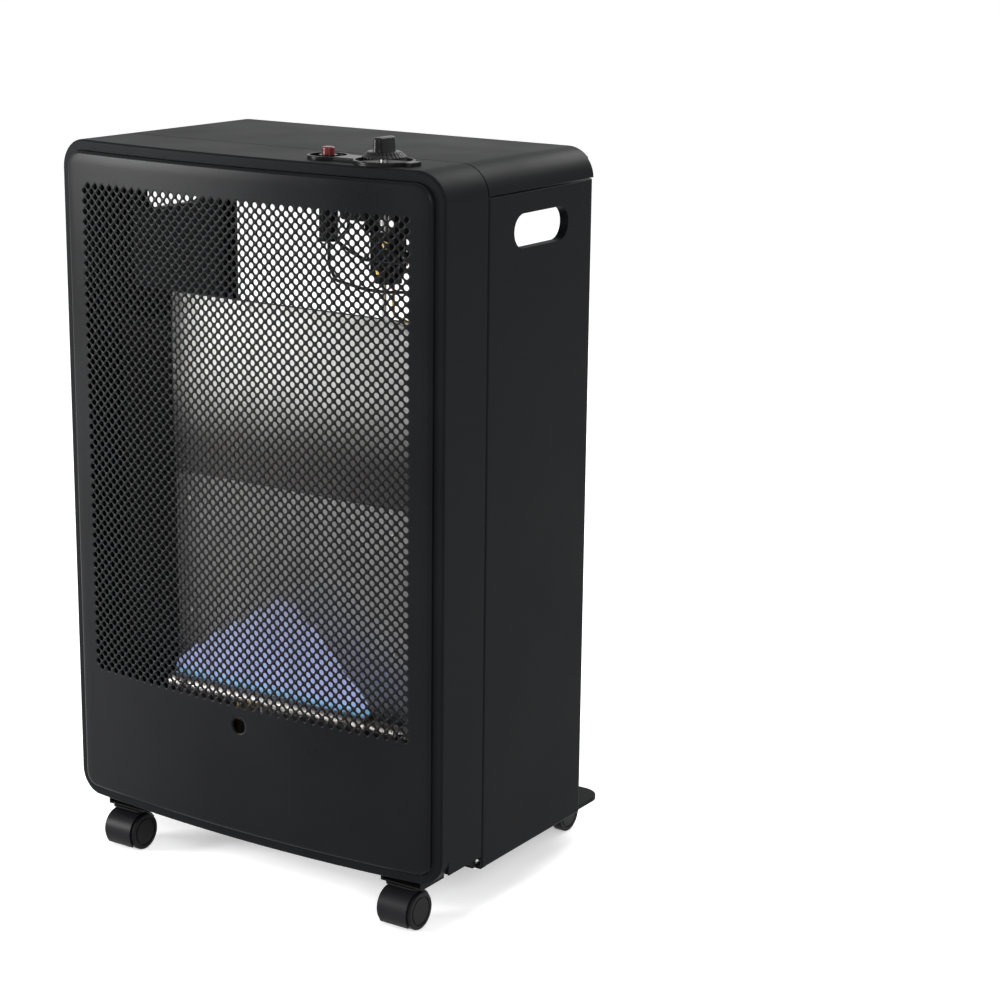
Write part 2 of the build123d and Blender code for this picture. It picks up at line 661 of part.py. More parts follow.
pilot = post(PILOT_X, PILOT_Y, shelf_z - PILOT_FOOT, PILOT_TOP, PILOT_RADIUS)
pilot += Pos(PILOT_X, PILOT_Y, shelf_z - CLIP_SHEET - PILOT_NUT) * extrude(
    RegularPolygon(PILOT_RADIUS + 2, 6), PILOT_NUT)
pilot -= post(PILOT_X, PILOT_Y, PILOT_TOP - 2 * PILOT_RADIUS, PILOT_TOP + 1, PILOT_RADIUS - PILOT_WALL)
pilot -= block(PILOT_X - 1.5, PILOT_X + 1.5, 0, BURNER_Y, PILOT_TOP - 6, PILOT_TOP - 2)
pilot -= post(PILOT_X, PILOT_Y, shelf_z - PILOT_FOOT - 1, shelf_z - PILOT_FOOT / 2, PILOT_PIPE)
save("pilot_burner", pilot)

electrode_x = PILOT_X + PROBE_STEP
electrode = post(electrode_x, PILOT_Y, shelf_z - ELECTRODE_FOOT, shelf_z + ELECTRODE_HEAD, ELECTRODE_RADIUS)
electrode += tube([(electrode_x, PILOT_Y, shelf_z + ELECTRODE_HEAD - 1),
                   (electrode_x, PILOT_Y, PILOT_TOP + 3),
                   (electrode_x - SPARK_REACH, PILOT_Y, PILOT_TOP + 5)], SPARK_RADIUS, 2)
save("ignition_electrode", electrode)

sensor_x = PILOT_X - PROBE_STEP
sensor = post(sensor_x, PILOT_Y, shelf_z - SENSOR_DROP, PILOT_TOP + 2, PROBE_RADIUS)
sensor = fillet(sensor.faces().sort_by(Axis.Z)[-1].edges(), 1.5)
save("thermocouple", sensor)

pilot_pipe = tube([(PILOT_X, PILOT_Y, shelf_z - PILOT_FOOT / 2),
                   (PILOT_X, PILOT_Y, PILOT_RUN),
                   (PIPE_X, PILOT_Y, PILOT_RUN),
                   (PIPE_X, RISER_Y, PILOT_RUN + LEAD_RISE),
                   (PIPE_X, RISER_Y, CROSS_Z),
                   (KNOB_X, CONTROL_Y, CROSS_Z + 22),
                   (KNOB_X, CONTROL_Y, VALVE_BOTTOM)], PILOT_PIPE, LEAD_BEND)
save("pilot_pipe", pilot_pipe)

probe_end = CONTROL_Y + 1
thermocouple_lead = tube([(sensor_x, PILOT_Y, shelf_z - SENSOR_DROP),
                          (sensor_x, PILOT_Y, PROBE_RUN),
                          (PROBE_X, PILOT_Y, PROBE_RUN),
                          (PROBE_X, RISER_Y + PROBE_LEAD_BACK, PROBE_RUN + LEAD_RISE),
                          (PROBE_X, RISER_Y + PROBE_LEAD_BACK, CROSS_Z + 5),
                          (KNOB_X + 9, probe_end, CROSS_Z + 26),
                          (KNOB_X + 9, probe_end, VALVE_BOTTOM)], LEAD_RADIUS, LEAD_BEND)
save("thermocouple_lead", thermocouple_lead)

loop_y = VALVE_FRONT - LEAD_FORWARD
loop_low = VALVE_BOTTOM - SPARK_LOOP
ignition_lead = tube([(electrode_x, PILOT_Y, shelf_z - ELECTRODE_FOOT),
                      (electrode_x, PILOT_Y, SPARK_RUN),
                      (SPARK_X, PILOT_Y, SPARK_RUN),
                      (SPARK_X, RISER_Y - SPARK_FORWARD, SPARK_RUN + LEAD_RISE),
                      (SPARK_X, RISER_Y - SPARK_FORWARD, loop_low),
                      (VALVE_RIGHT, loop_y, loop_low),
                      (VALVE_LEFT, loop_y, loop_low),
                      (BUTTON_X + LEAD_STEP, loop_y, loop_low + SPARK_LOOP),
                      (BUTTON_X, CONTROL_Y, IGNITER_BOTTOM - SPARK_SAG),
                      (BUTTON_X, CONTROL_Y, IGNITER_BOTTOM)], LEAD_RADIUS, LEAD_BEND)
save("ignition_lead", ignition_lead)

# ================================================================ gas valve
spindle_bottom = VALVE_TOP - SPINDLE_SEAT
valve = block(VALVE_LEFT, VALVE_RIGHT, VALVE_FRONT, VALVE_BACK, VALVE_BOTTOM + VALVE_NECK, VALVE_TOP)
valve = fillet(valve.edges().filter_by(Axis.Z), 4)
valve += post(KNOB_X, VALVE_FRONT + VALVE_DEPTH / 2, VALVE_BOTTOM, VALVE_BOTTOM + VALVE_NECK,
              VALVE_DEPTH / 2 - 1)
front_nut = Plane(origin=(KNOB_X + 2, VALVE_FRONT, VALVE_BOTTOM + TEST_NUT_RISE), z_dir=(0, -1, 0))
valve += extrude(front_nut * RegularPolygon(TEST_NUT, 6), TEST_NUT)
side_nut = Plane(origin=(VALVE_RIGHT, CONTROL_Y, SUPPLY_Z), z_dir=(1, 0, 0))
valve += extrude(side_nut * RegularPolygon(VALVE_NUT, 6), VALVE_NUT + 1)
valve -= bar_x(VALVE_RIGHT - 6, VALVE_RIGHT + 10, CONTROL_Y, SUPPLY_Z, SUPPLY_RADIUS)
valve -= post(KNOB_X, CONTROL_Y, spindle_bottom - SPINDLE_TRAVEL - 1, VALVE_TOP + 1,
              SPINDLE_RADIUS + RUNNING_FIT)
save("gas_valve", valve)

arm_left = VALVE_LEFT - BRACKET_REACH
arm_right = VALVE_RIGHT + BRACKET_REACH
bracket = block(arm_left, arm_right, VALVE_FRONT, VALVE_BACK, VALVE_TOP, VALVE_TOP + SHEET)
for outside, inside, foot in ((arm_left, arm_left + SHEET, arm_left - BRACKET_FOOT),
                              (arm_right, arm_right - SHEET, arm_right + BRACKET_FOOT)):
    bracket += block(min(outside, inside), max(outside, inside), VALVE_FRONT, VALVE_BACK,
                     VALVE_TOP, UNDER_TOP)
    bracket += block(min(outside, foot), max(outside, foot), VALVE_FRONT, VALVE_BACK, UNDER_TOP - SHEET,
                     UNDER_TOP)
bracket -= post(KNOB_X, CONTROL_Y, VALVE_TOP - 1, VALVE_TOP + 2 * SHEET, SPINDLE_RADIUS + GAP)
save("valve_bracket", bracket)

nozzle_end = VALVE_BACK + NOZZLE_LENGTH
nozzle = bar_y(KNOB_X, VALVE_BACK, nozzle_end, NOZZLE_Z, NOZZLE_RADIUS)
nozzle_nut = Plane(origin=(KNOB_X, VALVE_BACK, NOZZLE_Z), z_dir=(0, 1, 0))
nozzle += extrude(nozzle_nut * RegularPolygon(NOZZLE_NUT + 1, 6), NOZZLE_NUT)
for barb in range(3):
    y = nozzle_end - 4 - BARB_PITCH * barb
    ring = bar_y(KNOB_X, y - 1, y + 1, NOZZLE_Z, NOZZLE_RADIUS + 1)
    nozzle -= ring - bar_y(KNOB_X, y - 1, y + 1, NOZZLE_Z, NOZZLE_RADIUS - 0.6)
nozzle -= bar_y(KNOB_X, VALVE_BACK, nozzle_end + 1, NOZZLE_Z, NOZZLE_BORE)
save("inlet_nozzle", nozzle)

# ================================================================ spindle, knob and bezel
bezel_top = TOP + BEZEL_THICK
knob_bottom = TOP + KNOB_LIFT
knob_top = knob_bottom + KNOB_HEIGHT
spindle_top = knob_top - KNOB_ROOF
spindle = post(KNOB_X, CONTROL_Y, spindle_bottom, spindle_top, SPINDLE_RADIUS)
save("valve_spindle", spindle)

skirt = Pos(KNOB_X, CONTROL_Y, knob_bottom + KNOB_SKIRT_HEIGHT / 2) * Cone(KNOB_SKIRT, KNOB_WAIST,
                                                                          KNOB_SKIRT_HEIGHT)
blade = block(KNOB_X - KNOB_BLADE / 2, KNOB_X + KNOB_BLADE / 2, CONTROL_Y - KNOB_LENGTH / 2,
              CONTROL_Y + KNOB_LENGTH / 2, knob_bottom, knob_top)
blade = fillet(blade.edges().filter_by(Axis.Z), 4)
blade = fillet(blade.faces().sort_by(Axis.Z)[-1].edges(), 2)
knob = skirt + blade
knob -= post(KNOB_X, CONTROL_Y, knob_bottom - 1, spindle_top + RUNNING_FIT, SPINDLE_RADIUS + RUNNING_FIT)
save("control_knob", knob)

bezel = post(KNOB_X, CONTROL_Y, TOP, bezel_top, KNOB_WELL + BEZEL_RIM)
bezel += post(BUTTON_X, CONTROL_Y, TOP, bezel_top, BUTTON_WELL + BEZEL_RIM)
bezel += block(BUTTON_X, KNOB_X, CONTROL_Y - BEZEL_BRIDGE, CONTROL_Y + BEZEL_BRIDGE, TOP, bezel_top)
bezel += block(KNOB_X, KNOB_X + BEZEL_TAB, CONTROL_Y - BEZEL_TAB_HALF, CONTROL_Y + BEZEL_TAB_HALF,
               TOP, bezel_top)
bezel = fillet(bezel.faces().sort_by(Axis.Z)[-1].edges(), 0.8)
bezel -= post(KNOB_X, CONTROL_Y, TOP + BEZEL_FLOOR, bezel_top + 1, KNOB_WELL)
bezel -= post(BUTTON_X, CONTROL_Y, TOP + BEZEL_FLOOR, bezel_top + 1, BUTTON_WELL)
bezel += post(BUTTON_X, CONTROL_Y, TOP, bezel_top, BUTTON_RADIUS + 2.5)
bezel -= post(KNOB_X, CONTROL_Y, TOP - 1, bezel_top, SPINDLE_RADIUS + GAP)
bezel -= post(BUTTON_X, CONTROL_Y, TOP - 1, bezel_top + 1, BUTTON_RADIUS + GAP)
save("control_bezel", bezel)

button_bottom = BUTTON_TOP - BUTTON_LENGTH
button = post(BUTTON_X, CONTROL_Y, button_bottom, BUTTON_TOP, BUTTON_RADIUS)
button = fillet(button.faces().sort_by(Axis.Z)[-1].edges(), 1.5)
save("igniter_button", button)

igniter = post(BUTTON_X, CONTROL_Y, IGNITER_BOTTOM, UNDER_TOP, IGNITER_RADIUS)
igniter += Pos(BUTTON_X, CONTROL_Y, UNDER_TOP - IGNITER_NUT) * extrude(
    RegularPolygon(IGNITER_RADIUS + 3, 6), IGNITER_NUT)
igniter -= post(BUTTON_X, CONTROL_Y, button_bottom - BUTTON_TRAVEL - 1, TOP, BUTTON_RADIUS + RUNNING_FIT)
save("igniter_body", igniter)

# ================================================================ tilt switch and its leads
switch = block(SWITCH_X - SWITCH_WIDTH / 2, SWITCH_X + SWITCH_WIDTH / 2, SWITCH_Y - SWITCH_DEPTH / 2,
               SWITCH_Y + SWITCH_DEPTH / 2, SWITCH_BOTTOM, SWITCH_TOP)
switch = fillet(switch.faces().sort_by(Axis.Z)[0].edges().filter_by(Axis.Y), SWITCH_ROUND)
switch_back = SWITCH_Y + SWITCH_DEPTH / 2
save("tilt_switch", switch)

hanger = block(SWITCH_X - SWITCH_TONGUE / 2, SWITCH_X + SWITCH_TONGUE / 2, switch_back, switch_back + SHEET,
               SWITCH_BOTTOM + SWITCH_OVERLAP, UNDER_TOP)
hanger += block(SWITCH_X - SWITCH_TONGUE / 2, SWITCH_X + SWITCH_TONGUE / 2, switch_back - SWITCH_TONGUE,
                switch_back, UNDER_TOP - SHEET, UNDER_TOP)
save("tilt_switch_bracket", hanger)


switch_lead_x = SWITCH_X - SWITCH_WIDTH / 2 + LEAD_INSET
switch_lead_z = SWITCH_BOTTOM - SWITCH_SAG
switch_lead = tube([(switch_lead_x, SWITCH_Y, SWITCH_BOTTOM),
                    (switch_lead_x, SWITCH_Y, SWITCH_BOTTOM - LEAD_DROP),
                    (switch_lead_x, loop_y, switch_lead_z + SWITCH_ENTRY),
                    (switch_lead_x + LEAD_STEP, loop_y, switch_lead_z + LEAD_INSET),
                    (VALVE_LEFT, loop_y, switch_lead_z),
                    (VALVE_RIGHT + LEAD_STEP, loop_y, switch_lead_z),
                    (VALVE_RIGHT + LEAD_STEP, CONTROL_Y, switch_lead_z + SWITCH_ENTRY),
                    (VALVE_RIGHT, CONTROL_Y, switch_lead_z + SWITCH_ENTRY)], LEAD_RADIUS, LEAD_BEND - 3)
save("switch_lead", switch_lead)

red_lead_x = SWITCH_X + SWITCH_WIDTH / 2 - LEAD_INSET
red_lead_z = VALVE_BOTTOM + RED_ENTRY
red_lead_y = VALVE_BACK + LEAD_BACK
red_lead = tube([(red_lead_x, SWITCH_Y, SWITCH_BOTTOM),
                 (red_lead_x, SWITCH_Y, SWITCH_BOTTOM - LEAD_DROP),
                 (red_lead_x, red_lead_y, SWITCH_BOTTOM - RED_SAG),
                 (VALVE_RIGHT + LEAD_STEP, red_lead_y, SWITCH_BOTTOM - RED_SAG),
                 (VALVE_RIGHT + LEAD_STEP, VALVE_BACK - LEAD_BACK, red_lead_z),
                 (VALVE_RIGHT, VALVE_BACK - LEAD_BACK, red_lead_z)], LEAD_RADIUS, LEAD_BEND - 3)
save("red_lead", red_lead)

# ================================================================ folding side panels
hinge_circle = Pos(PANEL_HINGE_X, PANEL_HINGE_Y) * Circle(EAR_RADIUS)
panel = block(PANEL_TIP, HALF, PANEL_FRONT, PANEL_REAR, PANEL_BOTTOM, PANEL_TOP)
outside = panel.faces().sort_by(Axis.X)[-1].edges()
panel = fillet(outside, EDGE_ROUND)
panel -= block(PANEL_TIP - 1, WALL, PANEL_FRONT + SHEET, PANEL_REAR - SHEET, PANEL_BOTTOM + SHEET,
               PANEL_TOP - SHEET)
slot = Pos(SLOT_Y, SLOT_Z) * SlotOverall(SLOT_LENGTH, SLOT_HEIGHT)
collar = Pos(SLOT_Y, SLOT_Z) * SlotOverall(SLOT_LENGTH + 2 * SHEET, SLOT_HEIGHT + 2 * SHEET)
panel += along_x(collar, HALF - SLOT_COLLAR, WALL)
panel -= along_x(slot, HALF - SLOT_COLLAR - 1, HALF + 1)
for low in (PANEL_BOTTOM, PANEL_TOP - SHEET):
    ear = extrude(hinge_circle, SHEET)
    ear += block(PANEL_TIP - 1, HALF - SHEET, PANEL_FRONT, PANEL_HINGE_Y + EAR_RADIUS, 0, SHEET)
    panel += Pos(0, 0, low) * ear
    panel -= post(PANEL_HINGE_X, PANEL_HINGE_Y, low - 1, low + SHEET + 1, PIN_RADIUS + RUNNING_FIT)
panel -= block(PANEL_TIP - 1, WALL, PANEL_FRONT - 1, PANEL_FRONT + SHEET, PANEL_BOTTOM + SHEET,
               PANEL_BOTTOM + SHEET + NOTCH)
panel -= block(PANEL_TIP - 1, WALL, PANEL_FRONT - 1, PANEL_FRONT + SHEET, PANEL_TOP - SHEET - NOTCH,
               PANEL_TOP - SHEET)
save("right_side_panel", panel)
save("left_side_panel", mirrored(panel))

# Hinge brackets: a plate with a leaf on the rear frame, above each ear of the side panel.
def hinge_plate(low, leaf_height):
    plate = block(LEAF_IN, PANEL_TIP + EAR_RADIUS, REAR_PLANE, PANEL_HINGE_Y + EAR_RADIUS,
                  low, low + HINGE_PLATE)
    leaf = block(LEAF_IN, LEAF_OUT, REAR_PLANE, LEAF_BACK, low, low + leaf_height)
    return plate + leaf


gusset_x = PANEL_TIP + HINGE_PLATE * 2
gusset = make_face(Polyline((REAR_PLANE - GUSSET_LENGTH, SIDE_BOTTOM), (REAR_PLANE, SIDE_BOTTOM),
                            (REAR_PLANE, LOWER_PLATE), (REAR_PLANE - 3, LOWER_PLATE),
                            (REAR_PLANE - GUSSET_LENGTH, SIDE_BOTTOM)))
lower = hinge_plate(LOWER_PLATE, LOWER_LEAF)
lower += along_x(gusset, gusset_x, gusset_x + HINGE_PLATE)
lower += block(LEAF_IN, gusset_x + HINGE_PLATE, REAR_PLANE - HINGE_BACK, REAR_PLANE, LOWER_PLATE,
               LOWER_PLATE + HINGE_PLATE)
brackets = lower + hinge_plate(UPPER_PLATE, UPPER_LEAF)
brackets -= post(PANEL_HINGE_X, PANEL_HINGE_Y, 0, TOP, PIN_RADIUS)
brackets -= screw_holes
save("right_hinge_brackets", brackets)
save("left_hinge_brackets", mirrored(brackets))


def hinge_pin(low, head_low):
    pin_top = low + HINGE_PLATE + PIN_HEAD_THICK
    pin = post(PANEL_HINGE_X, PANEL_HINGE_Y, head_low, pin_top, PIN_RADIUS)
    pin += post(PANEL_HINGE_X, PANEL_HINGE_Y, head_low, head_low + PIN_HEAD_THICK, PIN_HEAD)
    pin += post(PANEL_HINGE_X, PANEL_HINGE_Y, low + HINGE_PLATE, pin_top, PIN_HEAD)
    return pin


hinge_pins = hinge_pin(LOWER_PLATE, PANEL_BOTTOM - GAP - PIN_HEAD_THICK)
hinge_pins += hinge_pin(UPPER_PLATE, PANEL_TOP - SHEET - GAP - PIN_HEAD_THICK)
hinge_pins -= block(LEAF_IN, PANEL_TIP, REAR_PLANE, LEAF_BACK, 0, TOP)
save("right_hinge_pins", hinge_pins)
save("left_hinge_pins", mirrored(hinge_pins))

# ================================================================ lid
lid_front = BODY_DEPTH + SEAM
lid = slab(front_outline(0, SIDE_BOTTOM, 0), lid_front, LID_REAR)
lid = fillet(lid.faces().sort_by(Axis.Y)[-1].edges(), EDGE_ROUND)
lid -= slab(front_outline(SHEET, 0, 0), lid_front - 1, LID_REAR - SHEET)
lid -= block(-HALF - 1, HALF + 1, lid_front - 1, LID_REAR + 1, 0, LID_BOTTOM)
lid -= block(-HALF, HALF, LID_REAR - SHEET - 2, LID_REAR + 1, 0, TOP - LID_HEM)
fixed = None
pins = None
for centre in (-LID_HINGE_X, 0, LID_HINGE_X):
    left = centre - LID_KNUCKLE
    right = centre + LID_KNUCKLE
    knuckle = bar_x(left, centre, LID_HINGE_Y, HINGE_Z, BARREL_RADIUS)
    knuckle -= bar_x(left - 1, centre + 1, LID_HINGE_Y, HINGE_Z, BARREL_PIN)
    leaf_top = HINGE_Z - LID_LEAF_DROP / 2
    leaf = block(left, centre, REAR_PLANE, LEAF_BACK, HINGE_Z - LID_LEAF_DROP, leaf_top)
    leaf += block(left, centre, REAR_PLANE, LID_HINGE_Y + SHEET / 2, leaf_top - SHEET, leaf_top)
    leaf += block(left, centre, LID_HINGE_Y - SHEET / 2, LID_HINGE_Y + SHEET / 2, leaf_top - SHEET,
                  HINGE_Z - BARREL_PIN - ARM_GAP)
    leaf -= bar_x(left - 1, centre + 1, LID_HINGE_Y, HINGE_Z, BARREL_RADIUS - GAP)
    pair = knuckle + leaf
    fixed = pair if fixed is None else fixed + pair
    pin = bar_x(left, right, LID_HINGE_Y, HINGE_Z, BARREL_PIN)
    pins = pin if pins is None else pins + pin
    moving = bar_x(centre + GAP, right, LID_HINGE_Y, HINGE_Z, BARREL_RADIUS)
    moving += block(centre + GAP, right, LID_HINGE_Y, LID_HINGE_Y + LID_LEAF, HINGE_Z + 1.2, UNDER_TOP)
    moving -= bar_x(centre - 1, right + 1, LID_HINGE_Y, HINGE_Z, BARREL_PIN + RUNNING_FIT)
    lid += moving
save("lid", lid)
save("lid_hinge_brackets", fixed)
save("lid_hinge_pins", pins)

# ================================================================ cylinder tray
def rounded_plan(half, front, rear_edge, corner):
    face = Pos(0, (front + rear_edge) / 2) * Rectangle(2 * half, rear_edge - front)
    return fillet(face.vertices(), corner)


tray = Pos(0, 0, TRAY_TOP - TRAY_LIP) * extrude(rounded_plan(TRAY_HALF, TRAY_FRONT, TRAY_REAR, TRAY_CORNER),
                                                 TRAY_LIP)
rim = tray.faces().sort_by(Axis.Z)[-1].edges()
tray = fillet(rim, 1)
tray -= Pos(0, 0, TRAY_TOP - TRAY_LIP - 1) * extrude(
    rounded_plan(TRAY_HALF - SHEET, TRAY_FRONT - TRAY_CORNER, TRAY_REAR - SHEET, TRAY_CORNER - SHEET),
    TRAY_LIP + 1 - SHEET)
well = Pos(0, 0, TRAY_TOP - WELL_DEPTH) * extrude(
    rounded_plan(WELL_HALF, WELL_FRONT, WELL_REAR, WELL_CORNER), WELL_DEPTH + 1)
tub = Pos(0, 0, TRAY_TOP - WELL_DEPTH - SHEET) * extrude(
    rounded_plan(WELL_HALF + SHEET, WELL_FRONT - SHEET, WELL_REAR + SHEET, WELL_CORNER + SHEET), WELL_DEPTH)
tub = fillet(tub.faces().sort_by(Axis.Z)[0].edges(), WELL_ROUND)
tray = tray + tub - well
half_notch = ARM_THICK / 2 + ARM_GAP
lug_radius = ROD_RADIUS + LUG_WALL
for side in (-1, 1):
    middle = side * ARM_X
    tray -= block(middle - half_notch, middle + half_notch, TRAY_FRONT - 1, TRAY_FRONT + ARM_NOTCH,
                  TRAY_UNDER - TRAY_LIP, TRAY_TOP + 1)
    for inner_side in (-1, 1):
        near = middle + inner_side * half_notch
        far = near + inner_side * LUG_THICK
        x0 = min(near, far)
        x1 = max(near, far)
        lug = bar_x(x0, x1, TRAY_HINGE_Y, TRAY_HINGE_Z, lug_radius)
        lug += block(x0, x1, TRAY_HINGE_Y - lug_radius, TRAY_HINGE_Y + lug_radius, TRAY_HINGE_Z, TRAY_UNDER)
        lug -= bar_x(x0 - 1, x1 + 1, TRAY_HINGE_Y, TRAY_HINGE_Z, ROD_RADIUS + RUNNING_FIT)
        tray += lug
save("tray", tray)

arm_low = TRAY_HINGE_Z - ARM_RADIUS
arm_high = TRAY_HINGE_Z + ARM_RADIUS
arm_back = REAR_PLANE - ARM_BACK
arms = []
for side in (-1, 1):
    x0 = side * ARM_X - ARM_THICK / 2
    x1 = side * ARM_X + ARM_THICK / 2
    arm = block(x0, x1, ARM_FRONT, arm_back, arm_low, SIDE_BOTTOM)
    arm += block(x0, x1, ARM_FRONT, TRAY_HINGE_Y, arm_low, arm_high)
    arm += bar_x(x0, x1, TRAY_HINGE_Y, TRAY_HINGE_Z, ARM_RADIUS)
    arm += block(side * ARM_X - ARM_FOOT, side * ARM_X + ARM_FOOT, ARM_FRONT, arm_back,
                 SIDE_BOTTOM - ARM_THICK / 2, SIDE_BOTTOM)
    arm -= bar_x(x0 - 1, x1 + 1, TRAY_HINGE_Y, TRAY_HINGE_Z, ROD_RADIUS)
    arms.append(arm)
save("tray_arms", Compound(arms))
rod_half = ARM_X + ARM_THICK / 2 + LUG_THICK + ROD_END
save("tray_hinge_rod", bar_x(-rod_half, rod_half, TRAY_HINGE_Y, TRAY_HINGE_Z, ROD_RADIUS))

# ================================================================ casters


def sector(inner_radius, outer_radius, start, end):
    """Part of a ring in (Y, Z), with angles measured from the front, upwards."""
    ring = Circle(outer_radius) - Circle(inner_radius) if inner_radius > 0 else Circle(outer_radius)
    lines = [Polyline((0, 0), *[(3 * outer_radius * cosine, 3 * outer_radius * sine)
                                for cosine, sine in spread(start, end)], (0, 0))]
    return ring & make_face(lines)


def spread(start, end):
    """Unit directions from the start to the end angle, in thirds."""
    for part in range(4):
        direction = Vector(-1, 0, 0).rotate(Axis.Z, -(start + (end - start) * part / 3))
        yield direction.X, direction.Y


def caster(centre, toward):
    """One twin-wheel caster: its stem, hood and wheels. toward is -1 with the wheels in front."""
    x, y = centre
    axle_y = y + toward * CASTER_TRAIL
    plate_low = CASTER_HEIGHT - STEM_PLATE_THICK
    stem = block(x - STEM_PLATE / 2, x + STEM_PLATE / 2, y - STEM_PLATE / 2, y + STEM_PLATE / 2,
                 plate_low, CASTER_HEIGHT)
    stem = fillet(stem.edges().filter_by(Axis.Z), 5)
    stem += post(x, y, WHEEL_RADIUS + 4, plate_low, STEM_RADIUS)
    for corner_x in (-STEM_BOLT, STEM_BOLT):
        for corner_y in (-STEM_BOLT, STEM_BOLT):
            stem += post(x + corner_x, y + corner_y, plate_low - BOLT_HEAD, plate_low, BOLT_RADIUS)
    cover = along_x(sector(WHEEL_RADIUS + HOOD_GAP, HOOD_RADIUS, HOOD_START, HOOD_END),
                    -HOOD_HALF, HOOD_HALF)
    web = along_x(sector(0, HOOD_RADIUS - 0.5, HOOD_START, HOOD_END) + Circle(WEB_RADIUS),
                  -WEB_HALF, WEB_HALF)
    hood = Pos(0, 0, WHEEL_RADIUS) * (cover + web)
    hood += post(0, CASTER_TRAIL, WHEEL_RADIUS - 2, plate_low - GAP, STEM_HUB)
    hood -= post(0, CASTER_TRAIL, WHEEL_RADIUS + 3, plate_low + 1, STEM_RADIUS + RUNNING_FIT)
    hood -= bar_x(-WEB_HALF - 1, WEB_HALF + 1, 0, WHEEL_RADIUS, AXLE_RADIUS + RUNNING_FIT)
    if toward > 0:
        hood = Rot(0, 0, 180) * hood
    hood = Pos(x, axle_y, 0) * hood
    wheels = bar_x(x - HALF_TRACK + 1, x + HALF_TRACK - 1, axle_y, WHEEL_RADIUS, AXLE_RADIUS)
    for side in (-1, 1):
        inside = x + side * WHEEL_INSIDE
        outside_x = x + side * HALF_TRACK
        wheel = bar_x(min(inside, outside_x), max(inside, outside_x), axle_y, WHEEL_RADIUS, WHEEL_RADIUS)
        wheel = fillet(wheel.edges(), 1.5)
        hollow_end = outside_x - side * WHEEL_WALL
        wheel -= bar_x(min(inside - side, hollow_end), max(inside - side, hollow_end), axle_y,
                       WHEEL_RADIUS, WHEEL_RADIUS - WHEEL_WALL)
        ring = WHEEL_RADIUS - WHEEL_WALL
        groove = bar_x(outside_x - 1, outside_x + 1, axle_y, WHEEL_RADIUS, ring)
        groove -= bar_x(outside_x - 2, outside_x + 2, axle_y, WHEEL_RADIUS, ring - WHEEL_GROOVE)
        wheels += wheel - groove
    return stem, hood, wheels


for row_name, x, y, toward in (("front", FRONT_CASTER_X, FRONT_CASTER_Y, -1),
                               ("rear", REAR_CASTER_X, REAR_CASTER_Y, 1)):
    for side_name, side in (("left", -1), ("right", 1)):
        stem, hood, wheels = caster((side * x, y), toward)
        save(f"{row_name}_{side_name}_caster_stem", stem)
        save(f"{row_name}_{side_name}_caster_hood", hood)
        save(f"{row_name}_{side_name}_caster_wheels", wheels)

mount_left = FRONT_CASTER_X - MOUNT_LENGTH / 2
mount_right = FRONT_CASTER_X + MOUNT_LENGTH / 2
mount_back = FRONT_CASTER_Y + MOUNT_DEPTH / 2
mount = block(mount_left, mount_right, mount_back - MOUNT_DEPTH + MOUNT_SETBACK, mount_back, CASTER_HEIGHT,
              SIDE_BOTTOM)
mount -= block(mount_left + MOUNT_WALL, mount_right - MOUNT_WALL, -FAR, mount_back - MOUNT_WALL,
               CASTER_HEIGHT + MOUNT_WALL, SIDE_BOTTOM + 1)
mount -= block(-FAR, FAR, -FAR, RING_DEPTH + SHEET, FLOOR_GAP - GAP, SIDE_BOTTOM + 1)
save("front_caster_mounts", mount + mirrored(mount))
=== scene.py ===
import json
import math

import bpy
from mathutils import Euler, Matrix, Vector
from mathutils.geometry import delaunay_2d_cdt


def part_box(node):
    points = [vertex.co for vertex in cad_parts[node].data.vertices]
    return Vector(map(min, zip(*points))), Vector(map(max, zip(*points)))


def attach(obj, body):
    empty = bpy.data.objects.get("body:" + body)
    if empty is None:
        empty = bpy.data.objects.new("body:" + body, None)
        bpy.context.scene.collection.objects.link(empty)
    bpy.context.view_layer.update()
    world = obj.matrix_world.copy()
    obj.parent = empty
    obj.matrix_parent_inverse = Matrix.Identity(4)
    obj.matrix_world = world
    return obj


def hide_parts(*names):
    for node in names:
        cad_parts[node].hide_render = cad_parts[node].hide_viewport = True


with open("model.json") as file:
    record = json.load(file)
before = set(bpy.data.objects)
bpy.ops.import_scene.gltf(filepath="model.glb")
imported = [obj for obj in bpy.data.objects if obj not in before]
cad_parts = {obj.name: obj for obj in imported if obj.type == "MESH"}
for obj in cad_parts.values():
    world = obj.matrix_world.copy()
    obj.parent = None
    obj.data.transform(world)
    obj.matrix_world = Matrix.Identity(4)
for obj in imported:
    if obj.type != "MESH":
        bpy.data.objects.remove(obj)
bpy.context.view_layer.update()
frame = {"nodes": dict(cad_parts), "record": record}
nodes = frame["nodes"]

MM = 0.001
SHELL_LOW, SHELL_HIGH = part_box("front_shell")
HALF = SHELL_HIGH.x
TOP = SHELL_HIGH.z
FOOT = SHELL_LOW.z
BOW = 15 * MM
BOW_RADIUS = (HALF ** 2 + BOW ** 2) / (2 * BOW)
BOW_FRONT = SHELL_LOW.y

